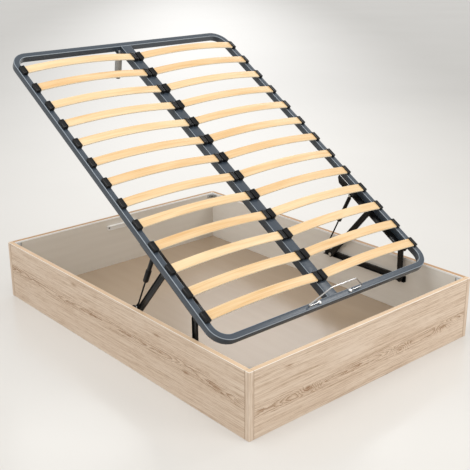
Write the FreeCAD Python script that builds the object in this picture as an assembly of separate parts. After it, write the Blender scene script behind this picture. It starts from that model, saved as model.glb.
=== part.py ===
"""Lift-up storage bed base: an open chest with a slatted tube frame on a gas-spring linkage.

The frame is modelled raised. Axes: X across the bed, Y from the head end (low, hinged) to
the foot end (raised), Z up. The origin is on the floor, under the middle of the chest.
All lengths are millimetres, all angles degrees.
"""
import FreeCAD, Part
import math
import os

Vector = FreeCAD.Vector

# Chest
chest_width = 1400.0
chest_length = 1900.0
chest_height = 300.0
panel_thickness = 25.0
panel_edge_radius = 2.5
post_corner_radius = 3.0
floor_thickness = 16.0
floor_clearance = 0.3

# Corner braces under the chest's rim
brace_leg = 40.0
brace_plate_thickness = 2.0
brace_flange_height = 20.0
brace_below_rim = 10.0

# Slatted frame: perimeter tube, bends and centre beam
frame_clearance = 5.0
frame_below_rim = 7.0
tube_width = 30.0
tube_height = 35.0
tube_wall = 1.5
tube_edge_radius = 4.0
bend_radius = 90.0
beam_width = 60.0
beam_height = 40.0
beam_drop = 2.0
beam_edge_radius = 3.0

# Slats and their caps
slat_rows = 13
slat_end_margin = 134.0
slat_width = 47.0
slat_thickness = 8.0
slat_rise = 22.0
slat_seat = 3.0
slat_outer_inset = 16.0
slat_inner_end = 10.0
cap_clearance = 0.2
cap_side_wall = 2.5
cap_roof = 4.0
cap_length = 24.0
cap_end_inset = 6.0
cap_corner_radius = 4.0
cap_panel_depth = 1.2
cap_panel_margin = 4.0
centre_cap_gap = 7.0

# Lift linkage: places along Y count from the chest's head wall or from the frame's low end
lift_tilt = 31.4
base_pivot_height = 190.0
long_arm_base_from_wall = 823.0
short_arm_base_from_wall = 354.0
long_arm_on_frame = 419.0
short_arm_on_frame = 174.0
frame_pivot_depth = 55.0
arm_width = 30.0
arm_depth = 10.0
arm_sheet = 2.5
arm_plane_from_wall = 17.0
running_clearance = 0.05
axial_clearance = 0.3
pivot_radius = 5.0
pivot_collar_radius = 8.0
pivot_head_radius = 9.0
pivot_head_height = 4.5
pivot_nut_height = 5.0

# Rail on the chest wall
rail_height = 30.0
rail_depth = 16.0
rail_sheet = 2.5
rail_end_margin = 24.0
rail_rear_margin = 62.0

# Rail under the frame's side tube
upper_rail_sheet = 3.0
upper_rail_web_height = 37.0
upper_rail_start = 130.0
upper_rail_end = 670.0
upper_rail_chamfer = 22.0
upper_rail_flange_reach = 37.0
upper_rail_flange_end = 590.0
upper_rail_flange_radius = 8.0
upper_rail_tube_margin = 2.0

# Gas springs
strut_inset_from_wall = 57.0
strut_base_behind_arm = -8.0
strut_base_above_arm = 72.0
strut_on_frame = 540.0
strut_eye_radius = 11.0
strut_eye_width = 10.0
strut_pin_radius = 4.0
strut_pin_head_radius = 7.0
strut_pin_head_height = 4.5
strut_neck_radius = 7.0
strut_neck_length = 5.0
rod_radius = 4.0
rod_bare_length = 165.0
rod_inserted_length = 40.0
piston_length = 12.0
piston_clearance = 0.4
cylinder_radius = 10.0
cylinder_wall = 1.8
cylinder_guide_length = 10.0
cylinder_floor = 6.0
sleeve_radius = 13.0
sleeve_length = 63.0
sleeve_lip = 8.0
sleeve_rod_clearance = 0.6

# Bracket that carries the gas spring on the chest rail
anchor_sheet = 3.0
anchor_foot_length = 39.0
anchor_foot_behind_arm = 18.0
anchor_base_radius = 17.0
anchor_top_radius = 14.0
anchor_rivet_height = 2.5

# Ledge on the foot wall that the closed frame lies on
ledge_width = 206.0
ledge_height = 30.0
ledge_depth = 18.0
ledge_sheet = 2.5
ledge_corner_radius = 14.0
ledge_hole_radius = 3.0
ledge_hole_margin = 15.0
ledge_gap = 0.5

# Mattress retainer: a bent wire standing on the low end tube
wire_radius = 3.0
wire_lift = 0.6
retainer_base_width = 360.0
retainer_top_width = 156.0
retainer_height = 95.0
retainer_fixing_spacing = 196.0
retainer_foot_radius = 8.0
retainer_top_radius = 14.0
fixing_radius = 10.0
fixing_height = 9.0
fixing_socket_depth = 6.0
fixing_wire_clearance = 0.1

# Hanging leg under the foot end
leg_lean = 8.0
leg_beside_beam = 21.0
leg_pivot_from_tube = 18.0
leg_pivot_depth = 22.0
leg_radius = 18.5
leg_top_drop = 16.0
leg_length = 130.0
leg_foot_radius = 13.0
leg_foot_height = 12.0
leg_tongue_width = 10.0
leg_tongue_radius = 9.0
leg_ear_sheet = 3.0
leg_ear_gap = 0.4
leg_ear_radius = 11.0
leg_pin_radius = 4.0
leg_pin_head_radius = 6.0
leg_pin_head_height = 2.5

# All cuts run this far past the faces they open
overrun = 1.0

half_width = chest_width / 2
half_length = chest_length / 2
wall_x = half_width - panel_thickness
wall_y = half_length - panel_thickness
frame_half_width = wall_x - frame_clearance
frame_length = 2 * (wall_y - frame_clearance)
tube_inner_x = frame_half_width - tube_width
closed_low_y = -wall_y + frame_clearance
closed_top_z = chest_height - frame_below_rim
arm_outer_x = wall_x - arm_plane_from_wall
arm_inner_x = arm_outer_x - arm_depth
arm_web_x = arm_inner_x + arm_sheet
rail_front_x = wall_x - rail_depth
rail_web_inner_x = tube_inner_x - upper_rail_sheet
strut_x = wall_x - strut_inset_from_wall
strut_face_x = strut_x + strut_eye_width / 2
anchor_inner_x = rail_web_inner_x - anchor_sheet - ledge_gap
anchor_outer_x = anchor_inner_x + anchor_sheet
leg_x = -(beam_width / 2 + leg_beside_beam)


class Linkage:
    """The lift linkage in the YZ plane: fixed pivots, raised frame and arm directions."""

    def __init__(self):
        self.long_base = (-wall_y + long_arm_base_from_wall, base_pivot_height)
        self.short_base = (-wall_y + short_arm_base_from_wall, base_pivot_height)
        self.strut_base = (
            self.long_base[0] + strut_base_behind_arm,
            self.long_base[1] + strut_base_above_arm,
        )
        self.tilt = math.radians(lift_tilt)
        closed_long = (closed_low_y + long_arm_on_frame, closed_top_z - frame_pivot_depth)
        closed_short = (closed_low_y + short_arm_on_frame, closed_top_z - frame_pivot_depth)
        self.long_length = math.dist(self.long_base, closed_long)
        self.short_length = math.dist(self.short_base, closed_short)
        self.low_end = self.raised_low_end()
        self.long_top = self.on_frame(long_arm_on_frame, -frame_pivot_depth)
        self.short_top = self.on_frame(short_arm_on_frame, -frame_pivot_depth)
        self.strut_top = self.on_frame(strut_on_frame, -frame_pivot_depth)

    def turned(self, along, up):
        """A frame vector turned to the raised tilt."""
        return (
            along * math.cos(self.tilt) - up * math.sin(self.tilt),
            along * math.sin(self.tilt) + up * math.cos(self.tilt),
        )

    def raised_low_end(self):
        """Place of the frame's low top edge: where both arms' circles meet, the upper one."""
        long_offset = self.turned(long_arm_on_frame, -frame_pivot_depth)
        short_offset = self.turned(short_arm_on_frame, -frame_pivot_depth)
        first = (self.long_base[0] - long_offset[0], self.long_base[1] - long_offset[1])
        second = (self.short_base[0] - short_offset[0], self.short_base[1] - short_offset[1])
        span = math.dist(first, second)
        along = (self.long_length ** 2 - self.short_length ** 2 + span ** 2) / (2 * span)
        across = math.sqrt(self.long_length ** 2 - along ** 2)
        unit = ((second[0] - first[0]) / span, (second[1] - first[1]) / span)
        foot = (first[0] + along * unit[0], first[1] + along * unit[1])
        meets = [
            (foot[0] + side * across * unit[1], foot[1] - side * across * unit[0])
            for side in (-1, 1)
        ]
        return max(meets, key=lambda place: place[1])

    def on_frame(self, along, up):
        """Chest place of a point given along the frame and above its top face."""
        offset = self.turned(along, up)
        return (self.low_end[0] + offset[0], self.low_end[1] + offset[1])


linkage = Linkage()


def block(x_from, x_to, y_from, y_to, z_from, z_to):
    """Box between two corners."""
    corner = Vector(x_from, y_from, z_from)
    return Part.makeBox(x_to - x_from, y_to - y_from, z_to - z_from, corner)


def drum_x(radius, x_from, x_to, y, z):
    """Cylinder along X."""
    return Part.makeCylinder(radius, x_to - x_from, Vector(x_from, y, z), Vector(1, 0, 0))


def drum_y(radius, y_from, y_to, x=0, z=0):
    """Cylinder along Y."""
    return Part.makeCylinder(radius, y_to - y_from, Vector(x, y_from, z), Vector(0, 1, 0))


def face_yz(points, x=0):
    """Flat polygon in the plane of one X."""
    corners = [Vector(x, y, z) for y, z in points]
    return Part.Face(Part.makePolygon(corners + corners[:1]))


def rounded_rectangle(width, height, radius):
    """Closed wire in the XZ plane, centred on the origin, with rounded corners."""
    reach_x = width / 2 - radius
    reach_z = height / 2 - radius
    diagonal = radius / math.sqrt(2)
    corners = [(1, 1), (-1, 1), (-1, -1), (1, -1)]
    edges = []
    ends = []
    for index, (side_x, side_z) in enumerate(corners):
        centre = (side_x * reach_x, side_z * reach_z)
        flat = Vector(centre[0] + side_x * radius, 0, centre[1])
        top = Vector(centre[0], 0, centre[1] + side_z * radius)
        middle = Vector(centre[0] + side_x * diagonal, 0, centre[1] + side_z * diagonal)
        start, end = (flat, top) if index % 2 == 0 else (top, flat)
        edges.append(Part.Arc(start, middle, end).toShape())
        ends.append((start, end))
    for index, (start, end) in enumerate(ends):
        following = ends[(index + 1) % len(ends)][0]
        edges.append(Part.LineSegment(end, following).toShape())
    return Part.Wire(Part.__sortEdges__(edges))


def tube_face(width, height, radius, wall):
    """Ring-shaped section of a rectangular tube in the XZ plane."""
    outer = rounded_rectangle(width, height, radius)
    inner = rounded_rectangle(width - 2 * wall, height - 2 * wall, radius - wall)
    return Part.Face(outer).cut(Part.Face(inner)).Faces[0]


def link_face(first, first_radius, second, second_radius, x=0):
    """Plate outline round two centres in the YZ plane: two arcs and their common tangents."""
    span = math.dist(first, second)
    heading = math.atan2(second[1] - first[1], second[0] - first[0])
    spread = math.acos((first_radius - second_radius) / span)

    def rim(centre, radius, angle):
        return Vector(x, centre[0] + radius * math.cos(angle), centre[1] + radius * math.sin(angle))

    left_first = rim(first, first_radius, heading + spread)
    right_first = rim(first, first_radius, heading - spread)
    left_second = rim(second, second_radius, heading + spread)
    right_second = rim(second, second_radius, heading - spread)
    back = rim(first, first_radius, heading + math.pi)
    front = rim(second, second_radius, heading)
    edges = [
        Part.LineSegment(right_first, right_second).toShape(),
        Part.Arc(right_second, front, left_second).toShape(),
        Part.LineSegment(left_second, left_first).toShape(),
        Part.Arc(left_first, back, right_first).toShape(),
    ]
    return Part.Face(Part.Wire(edges))


def rounded_path(points, radii):
    """Wire through points with a tangent arc at each inner one."""
    edges = []
    start = points[0]
    for index in range(1, len(points) - 1):
        corner = points[index]
        toward = (points[index - 1] - corner).normalize()
        onward = (points[index + 1] - corner).normalize()
        half_angle = toward.getAngle(onward) / 2
        reach = radii[index - 1] / math.tan(half_angle)
        begin = corner + toward * reach
        finish = corner + onward * reach
        bisector = (toward + onward).normalize()
        depth = radii[index - 1] / math.sin(half_angle) - radii[index - 1]
        edges.append(Part.LineSegment(start, begin).toShape())
        edges.append(Part.Arc(begin, corner + bisector * depth, finish).toShape())
        start = finish
    edges.append(Part.LineSegment(start, points[-1]).toShape())
    return Part.Wire(edges)


def filleted(shape, radius, test):
    """Shape with every edge that passes the test rounded."""
    edges = [edge for edge in shape.Edges if test(edge)]
    return shape.makeFillet(radius, edges)


def runs_along(edge, axis):
    """True when a straight edge lies along the axis vector."""
    start = edge.Vertexes[0].Point
    end = edge.Vertexes[-1].Point
    direction = (end - start).normalize()
    return abs(abs(direction.dot(axis)) - 1) < Part.Precision.confusion()


def mirrored(shape):
    """The same piece on the other side of the bed."""
    return shape.mirror(Vector(0, 0, 0), Vector(1, 0, 0))


def turned_to(shape, angle, place):
    """Shape turned about X by an angle in degrees, then moved to a YZ place."""
    turn = FreeCAD.Rotation(Vector(1, 0, 0), angle)
    moved = shape.copy()
    moved.Placement = FreeCAD.Placement(Vector(0, place[0], place[1]), turn).multiply(moved.Placement)
    return moved


def raised(shape):
    """A frame piece moved from frame axes to the raised frame."""
    return turned_to(shape, lift_tilt, linkage.low_end)


def save(name, *shapes):
    """Write one node: a single solid, or a group of equal solids."""
    solids = [solid for shape in shapes for solid in shape.Solids]
    whole = solids[0] if len(solids) == 1 else Part.makeCompound(solids)
    whole.exportStep("parts/" + name + ".step")


def save_pair(name, right):
    """Write a piece and its mirror image as a left and a right node."""
    save(name + "_right", right)
    save(name + "_left", mirrored(right))


# Chest pieces

def end_panel(side):
    """Head or foot panel, between the corner posts, with eased top and joint edges."""
    reach = half_width - panel_thickness
    outer = side * half_length
    inner = side * wall_y
    panel = block(-reach, reach, min(outer, inner), max(outer, inner), 0, chest_height)

    def eased(edge):
        outside = abs(edge.CenterOfMass.y) > half_length - panel_edge_radius
        joint = outside and runs_along(edge, Vector(0, 0, 1))
        return joint or is_rim_edge(edge, Vector(1, 0, 0))

    return filleted(panel, panel_edge_radius, eased)


def side_panel():
    """Right side panel, between the corner posts, with eased top and joint edges."""
    panel = block(wall_x, half_width, -wall_y, wall_y, 0, chest_height)

    def eased(edge):
        outside = edge.CenterOfMass.x > half_width - panel_edge_radius
        joint = outside and runs_along(edge, Vector(0, 0, 1))
        return joint or is_rim_edge(edge, Vector(0, 1, 0))

    return filleted(panel, panel_edge_radius, eased)


def is_rim_edge(edge, axis):
    """True for an edge along the axis at the chest's rim."""
    at_rim = all(vertex.Point.z > chest_height - panel_edge_radius for vertex in edge.Vertexes)
    return at_rim and runs_along(edge, axis)


def corner_post(side_x, side_y):
    """Square corner post with a rounded outer edge, eased outer rim and eased joint edges."""
    post = block(wall_x, half_width, wall_y, half_length, 0, chest_height)

    def outer_upright(edge):
        middle = edge.CenterOfMass
        return runs_along(edge, Vector(0, 0, 1)) and middle.x > wall_x and middle.y > wall_y

    post = filleted(post, post_corner_radius, outer_upright)

    def eased(edge):
        middle = edge.CenterOfMass
        beyond_joint = middle.x + middle.y - (half_width + wall_y)
        high = all(vertex.Point.z > chest_height - panel_edge_radius for vertex in edge.Vertexes)
        joint = abs(beyond_joint) < overrun and runs_along(edge, Vector(0, 0, 1))
        return joint or (high and beyond_joint > 0)

    post = filleted(post, panel_edge_radius, eased)
    if side_x < 0:
        post = mirrored(post)
    if side_y < 0:
        post = post.mirror(Vector(0, 0, 0), Vector(0, 1, 0))
    return post


def floor_board():
    """Board that closes the chest's underside."""
    reach_x = wall_x - floor_clearance
    reach_y = wall_y - floor_clearance
    return block(-reach_x, reach_x, -reach_y, reach_y, 0, floor_thickness)


def corner_brace(side_x, side_y):
    """Triangular plate with two flanges turned down against the walls."""
    top = chest_height - brace_below_rim
    under = top - brace_plate_thickness
    low = top - brace_flange_height
    corners = [
        Vector(wall_x, wall_y, under),
        Vector(wall_x - brace_leg, wall_y, under),
        Vector(wall_x, wall_y - brace_leg, under),
    ]
    plate = Part.Face(Part.makePolygon(corners + corners[:1]))
    plate = plate.extrude(Vector(0, 0, brace_plate_thickness))
    first = block(wall_x - brace_plate_thickness, wall_x, wall_y - brace_leg, wall_y, low, top)
    second = block(wall_x - brace_leg, wall_x, wall_y - brace_plate_thickness, wall_y, low, top)
    brace = plate.fuse([first, second]).removeSplitter()
    if side_x < 0:
        brace = mirrored(brace)
    if side_y < 0:
        brace = brace.mirror(Vector(0, 0, 0), Vector(0, 1, 0))
    return brace


def base_rail():
    """Channel on the right wall that carries the linkage, open toward the bed's middle."""
    front = linkage.short_base[0] - rail_end_margin
    rear = linkage.long_base[0] + rail_rear_margin
    low = base_pivot_height - rail_height / 2
    high = base_pivot_height + rail_height / 2
    channel = block(rail_front_x, wall_x, front, rear, low, high)
    hollow = block(
        rail_front_x - overrun, wall_x - rail_sheet, front - overrun, rear + overrun,
        low + rail_sheet, high - rail_sheet,
    )
    channel = channel.cut(hollow)
    for place in (linkage.long_base, linkage.short_base):
        hole = pivot_radius + running_clearance
        channel = channel.cut(
            drum_x(hole, wall_x - rail_sheet - overrun, wall_x + overrun, place[0], place[1])
        )
    return channel


def long_arm_base_bolt():
    """Shouldered bolt on the rail that the right long arm turns on."""
    y, z = linkage.long_base
    web = wall_x - rail_sheet
    spigot = drum_x(pivot_radius, web, wall_x, y, z)
    collar = drum_x(pivot_collar_radius, arm_web_x + axial_clearance, web, y, z)
    shank = drum_x(pivot_radius, arm_inner_x - axial_clearance, arm_web_x + axial_clearance, y, z)
    head_to = arm_inner_x - axial_clearance
    head = drum_x(pivot_head_radius, head_to - pivot_head_height, head_to, y, z)
    return spigot.fuse([collar, shank, head]).removeSplitter()


def short_arm_base_stud():
    """Stud on the rail behind the right short arm; it ends just short of the arm."""
    y, z = linkage.short_base
    web = wall_x - rail_sheet
    spigot = drum_x(pivot_radius, web, wall_x, y, z)
    collar = drum_x(pivot_collar_radius, arm_outer_x + axial_clearance, web, y, z)
    return spigot.fuse(collar).removeSplitter()


def strut_anchor():
    """Bent bracket welded on the right rail, reaching up to the gas spring's lower eye."""
    rail_top = base_pivot_height + rail_height / 2
    front = linkage.long_base[0] + anchor_foot_behind_arm
    rear = front + anchor_foot_length
    foot = block(
        anchor_inner_x, wall_x - rail_sheet, front, rear, rail_top, rail_top + anchor_sheet
    )
    low = ((front + rear) / 2, rail_top + anchor_base_radius)
    plate = link_face(
        low, anchor_base_radius, linkage.strut_base, anchor_top_radius, anchor_inner_x
    )
    plate = plate.extrude(Vector(anchor_sheet, 0, 0))
    hole = drum_x(
        strut_pin_radius + running_clearance, anchor_inner_x - overrun,
        anchor_outer_x + overrun, *linkage.strut_base,
    )
    return plate.fuse(foot).removeSplitter().cut(hole)


def strut_anchor_stud():
    """Riveted stud on the bracket; it ends just short of the gas spring's lower eye."""
    y, z = linkage.strut_base
    shank = drum_x(strut_pin_radius, anchor_inner_x, anchor_outer_x, y, z)
    collar = drum_x(strut_pin_head_radius, strut_face_x + axial_clearance, anchor_inner_x, y, z)
    rivet = drum_x(strut_pin_head_radius, anchor_outer_x, anchor_outer_x + anchor_rivet_height, y, z)
    return shank.fuse([collar, rivet]).removeSplitter()


def rest_ledge():
    """Angle on the foot wall: a holed plate and a turned-in ledge, both with rounded ends."""
    top = closed_top_z - tube_height - ledge_gap
    low = top - ledge_height
    half = ledge_width / 2
    plate = block(-half, half, wall_y - ledge_sheet, wall_y, low, top)
    shelf = block(-half, half, wall_y - ledge_depth, wall_y, top - ledge_sheet, top)

    def low_corner(edge):
        return runs_along(edge, Vector(0, 1, 0)) and edge.CenterOfMass.z < top - ledge_sheet

    def front_corner(edge):
        return runs_along(edge, Vector(0, 0, 1)) and edge.CenterOfMass.y < wall_y - ledge_sheet

    plate = filleted(plate, ledge_corner_radius, low_corner)
    shelf = filleted(shelf, ledge_corner_radius, front_corner)
    ledge = plate.fuse(shelf).removeSplitter()
    for side in (-1, 1):
        ledge = ledge.cut(drum_y(
            ledge_hole_radius, wall_y - ledge_sheet - overrun, wall_y + overrun,
            side * (half - ledge_hole_margin), top - ledge_height / 2,
        ))
    return ledge


# Slatted frame pieces, in frame axes: X across, Y from the low end, Z above the top face

def side_tube():
    """Right straight side tube between two bends."""
    section = tube_face(tube_width, tube_height, tube_edge_radius, tube_wall)
    section.translate(Vector(frame_half_width - tube_width / 2, bend_radius, -tube_height / 2))
    return section.extrude(Vector(0, frame_length - 2 * bend_radius, 0))


def end_tube(middle):
    """Straight end tube between two bends, with its middle at one place along the frame."""
    section = tube_face(tube_width, tube_height, tube_edge_radius, tube_wall)
    section.rotate(Vector(0, 0, 0), Vector(0, 0, 1), 90)
    reach = frame_half_width - bend_radius
    section.translate(Vector(-reach, middle, -tube_height / 2))
    return section.extrude(Vector(2 * reach, 0, 0))


def corner_bends():
    """The four quarter bends of the perimeter tube."""
    section = tube_face(tube_width, tube_height, tube_edge_radius, tube_wall)
    section.translate(Vector(frame_half_width - tube_width / 2, bend_radius, -tube_height / 2))
    centre = Vector(frame_half_width - bend_radius, bend_radius, 0)
    low = section.revolve(centre, Vector(0, 0, 1), -90)
    high = low.mirror(Vector(0, frame_length / 2, 0), Vector(0, 1, 0))
    return [low, high, mirrored(low), mirrored(high)]


def centre_beam():
    """Flat tube between the two end tubes."""
    section = tube_face(beam_width, beam_height, beam_edge_radius, tube_wall)
    section.translate(Vector(0, tube_width, -beam_drop - beam_height / 2))
    return section.extrude(Vector(0, frame_length - 2 * tube_width, 0))


def slat_places():
    """Places of the slats' middles along the frame, evenly spread between its ends."""
    pitch = (frame_length - 2 * slat_end_margin) / (slat_rows - 1)
    return [slat_end_margin + row * pitch for row in range(slat_rows)]


def slat_band(middle, spare=0):
    """Bowed right-hand slat: an arched strip, thicker and wider all round by a spare."""
    inner = slat_inner_end
    outer = frame_half_width - slat_outer_inset
    half_chord = (outer - inner) / 2
    radius = (half_chord ** 2 + slat_rise ** 2) / (2 * slat_rise)
    centre_x = (outer + inner) / 2
    centre_z = slat_seat + slat_rise - radius
    half_angle = math.asin(half_chord / radius) + spare / radius
    low = radius - spare
    high = radius + slat_thickness + spare
    y = middle - slat_width / 2 - spare

    def on_arc(distance, angle):
        return Vector(centre_x + distance * math.sin(angle), y, centre_z + distance * math.cos(angle))

    edges = [
        Part.Arc(on_arc(low, -half_angle), on_arc(low, 0), on_arc(low, half_angle)).toShape(),
        Part.LineSegment(on_arc(low, half_angle), on_arc(high, half_angle)).toShape(),
        Part.Arc(on_arc(high, half_angle), on_arc(high, 0), on_arc(high, -half_angle)).toShape(),
        Part.LineSegment(on_arc(high, -half_angle), on_arc(low, -half_angle)).toShape(),
    ]
    return Part.Face(Part.Wire(edges)).extrude(Vector(0, slat_width + 2 * spare, 0))


def cap_slope():
    """Rise per unit length of a slat at its end, which the caps' roofs follow."""
    half_chord = (frame_half_width - slat_outer_inset - slat_inner_end) / 2
    return 2 * slat_rise / half_chord


def cap_body(points, middle):
    """Cap block: an outline across the bed, as wide as a slat and its two side walls."""
    width = slat_width + 2 * cap_side_wall
    corners = [Vector(x, middle - width / 2, z) for x, z in points]
    return Part.Face(Part.makePolygon(corners + corners[:1])).extrude(Vector(0, width, 0))


def roof_panel(x_from, z_from, x_to, z_to, middle):
    """Shallow recess in a cap's sloping roof, inside a raised rim."""
    run = x_to - x_from
    slope = (z_to - z_from) / run
    low_x = x_from + cap_panel_margin
    high_x = x_to - cap_panel_margin
    low_z = z_from + slope * cap_panel_margin - cap_panel_depth
    high_z = z_to - slope * cap_panel_margin - cap_panel_depth
    ceiling = max(z_from, z_to) + overrun
    points = [(low_x, low_z), (high_x, high_z), (high_x, ceiling), (low_x, ceiling)]
    width = slat_width + 2 * cap_side_wall - 2 * cap_panel_margin
    corners = [Vector(x, middle - width / 2, z) for x, z in points]
    return Part.Face(Part.makePolygon(corners + corners[:1])).extrude(Vector(0, width, 0))


def outer_cap(middle):
    """Cap that seats a slat's outer end on the right side tube."""
    end = frame_half_width - cap_end_inset
    mouth = end - cap_length
    end_height = slat_seat + slat_thickness + cap_roof
    mouth_height = end_height + cap_slope() * cap_length
    cap = cap_body([(mouth, 0), (end, 0), (end, end_height), (mouth, mouth_height)], middle)

    def outer_upright(edge):
        return runs_along(edge, Vector(0, 0, 1)) and edge.CenterOfMass.x > end - cap_end_inset

    cap = filleted(cap, cap_corner_radius, outer_upright)
    cap = cap.cut(roof_panel(mouth, mouth_height, end, end_height, middle))
    return cap.cut(slat_band(middle, cap_clearance))


def centre_cap(middle):
    """Right cap of the pair on the centre beam, open toward its slat."""
    inner = centre_cap_gap / 2
    reach = beam_width / 2
    end_height = slat_seat + slat_thickness + cap_roof
    mouth_height = end_height + cap_slope() * (reach - inner)
    base = -beam_drop
    points = [(inner, base), (reach, base), (reach, mouth_height), (inner, end_height)]
    cap = cap_body(points, middle)

    def inner_upright(edge):
        return runs_along(edge, Vector(0, 0, 1)) and edge.CenterOfMass.x < inner + overrun

    cap = filleted(cap, cap_corner_radius, inner_upright)
    cap = cap.cut(roof_panel(inner, end_height, reach, mouth_height, middle))
    return cap.cut(slat_band(middle, cap_clearance))


def upper_rail():
    """Rail under the right side tube: a flat flange and a web that carries the pivots."""
    top = -tube_height
    low = top - upper_rail_web_height
    outline = [
        (upper_rail_start, top), (upper_rail_end, top),
        (upper_rail_end, low + upper_rail_chamfer), (upper_rail_end - upper_rail_chamfer, low),
        (upper_rail_start + upper_rail_chamfer, low), (upper_rail_start, low + upper_rail_chamfer),
    ]
    web = face_yz(outline, rail_web_inner_x).extrude(Vector(upper_rail_sheet, 0, 0))
    flange = block(
        rail_web_inner_x - upper_rail_flange_reach, frame_half_width - upper_rail_tube_margin,
        upper_rail_start, upper_rail_flange_end, top - upper_rail_sheet, top,
    )

    def inboard_corner(edge):
        return runs_along(edge, Vector(0, 0, 1)) and edge.CenterOfMass.x < rail_web_inner_x

    flange = filleted(flange, upper_rail_flange_radius, inboard_corner)
    rail = web.fuse(flange).removeSplitter()
    holes = [
        (long_arm_on_frame, pivot_radius), (short_arm_on_frame, pivot_radius),
        (strut_on_frame, strut_pin_radius),
    ]
    for place, radius in holes:
        rail = rail.cut(drum_x(
            radius + running_clearance, rail_web_inner_x - overrun, tube_inner_x + overrun,
            place, -frame_pivot_depth,
        ))
    return rail


def arm_pivot_bolt(place):
    """Shouldered bolt on the right upper rail that an arm's upper end turns on."""
    z = -frame_pivot_depth
    head = drum_x(pivot_head_radius, rail_web_inner_x - pivot_head_height, rail_web_inner_x, place, z)
    shank = drum_x(pivot_radius, rail_web_inner_x, arm_web_x + axial_clearance, place, z)
    collar = drum_x(pivot_collar_radius, tube_inner_x, arm_inner_x - axial_clearance, place, z)
    nut_from = arm_web_x + axial_clearance
    nut = drum_x(pivot_collar_radius, nut_from, nut_from + pivot_nut_height, place, z)
    return head.fuse([shank, collar, nut]).removeSplitter()


def strut_top_bolt():
    """Shouldered bolt on the right upper rail that the gas spring's upper eye turns on."""
    z = -frame_pivot_depth
    place = strut_on_frame
    inner_face = strut_x - strut_eye_width / 2 - axial_clearance
    head = drum_x(strut_pin_head_radius, inner_face - strut_pin_head_height, inner_face, place, z)
    shank = drum_x(strut_pin_radius, inner_face, tube_inner_x, place, z)
    collar = drum_x(strut_pin_head_radius, strut_face_x + axial_clearance, rail_web_inner_x, place, z)
    nut = drum_x(strut_pin_head_radius, tube_inner_x, tube_inner_x + pivot_nut_height, place, z)
    return head.fuse([shank, collar, nut]).removeSplitter()


def mattress_retainer():
    """Bent wire loop standing on the low end tube, its feet turned inward to two fixings."""
    y = tube_width / 2
    low = wire_lift + wire_radius
    high = retainer_height
    socket = retainer_fixing_spacing / 2 + fixing_radius - fixing_socket_depth
    half_base = retainer_base_width / 2
    half_top = retainer_top_width / 2
    points = [
        Vector(socket, y, low), Vector(half_base, y, low), Vector(half_top, y, high),
        Vector(-half_top, y, high), Vector(-half_base, y, low), Vector(-socket, y, low),
    ]
    radii = [retainer_foot_radius, retainer_top_radius, retainer_top_radius, retainer_foot_radius]
    path = rounded_path(points, radii)
    ring = Part.Circle(points[0], Vector(1, 0, 0), wire_radius).toShape()
    return path.makePipeShell([Part.Wire(ring)], True, False)


def retainer_fixing():
    """Domed fixing on the low end tube with a side socket for the right wire foot."""
    x = retainer_fixing_spacing / 2
    y = tube_width / 2
    body = Part.makeCylinder(fixing_radius, fixing_height, Vector(x, y, 0))

    def top_rim(edge):
        return all(vertex.Point.z > fixing_height / 2 for vertex in edge.Vertexes) and edge.Closed

    body = filleted(body, fixing_height / 2, top_rim)
    socket = drum_x(
        wire_radius + fixing_wire_clearance, x + fixing_radius - fixing_socket_depth
        - fixing_wire_clearance, x + fixing_radius + overrun, y, wire_lift + wire_radius,
    )
    return body.cut(socket)


def leg_pivot():
    """Leg pivot's place along the frame and above its top face."""
    return (frame_length - tube_width - leg_pivot_from_tube, -leg_pivot_depth)


def leg_bracket():
    """Two-eared bracket on the high end tube's inner side."""
    along, up = leg_pivot()
    wall = frame_length - tube_width
    half = leg_tongue_width / 2 + leg_ear_gap
    outer = half + leg_ear_sheet
    plate = block(
        leg_x - outer, leg_x + outer, wall - leg_ear_sheet, wall, up - leg_ear_radius,
        up + leg_ear_radius,
    )
    bracket = plate
    for inner_x in (leg_x - outer, leg_x + half):
        ear = Part.makeBox(
            leg_ear_sheet, wall - along, 2 * leg_ear_radius,
            Vector(inner_x, along, up - leg_ear_radius),
        )
        eye = drum_x(leg_ear_radius, inner_x, inner_x + leg_ear_sheet, along, up)
        bracket = bracket.fuse([ear, eye])
    hole = drum_x(
        leg_pin_radius + running_clearance, leg_x - outer - overrun, leg_x + outer + overrun,
        along, up,
    )
    return bracket.removeSplitter().cut(hole)


def leg_pin():
    """Headed pin through the bracket's ears."""
    along, up = leg_pivot()
    outer = leg_tongue_width / 2 + leg_ear_gap + leg_ear_sheet
    shank = drum_x(leg_pin_radius, leg_x - outer, leg_x + outer, along, up)
    left = drum_x(leg_pin_head_radius, leg_x - outer - leg_pin_head_height, leg_x - outer, along, up)
    right = drum_x(leg_pin_head_radius, leg_x + outer, leg_x + outer + leg_pin_head_height, along, up)
    return shank.fuse([left, right]).removeSplitter()


# Leg, with its pivot at the origin and hanging along -Z

def leg_post():
    """Round leg with a flat tongue on top."""
    post = Part.makeCylinder(leg_radius, leg_length - leg_top_drop, Vector(leg_x, 0, -leg_length))
    half = leg_tongue_width / 2
    tongue = link_face(
        (0, 0), leg_tongue_radius, (0, -leg_top_drop - overrun), leg_tongue_radius, leg_x - half
    )
    tongue = tongue.extrude(Vector(leg_tongue_width, 0, 0))
    hole = drum_x(leg_pin_radius + running_clearance, leg_x - leg_radius, leg_x + leg_radius, 0, 0)
    return post.fuse(tongue).removeSplitter().cut(hole)


def leg_foot():
    """Rounded glide under the leg."""
    foot = Part.makeCylinder(
        leg_foot_radius, leg_foot_height, Vector(leg_x, 0, -leg_length - leg_foot_height)
    )

    def low_rim(edge):
        return edge.Closed and edge.CenterOfMass.z < -leg_length - leg_foot_height / 2

    return filleted(foot, leg_foot_height / 2, low_rim)


# Arms and gas spring, lying along +Y from their lower pivot at the origin

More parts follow.
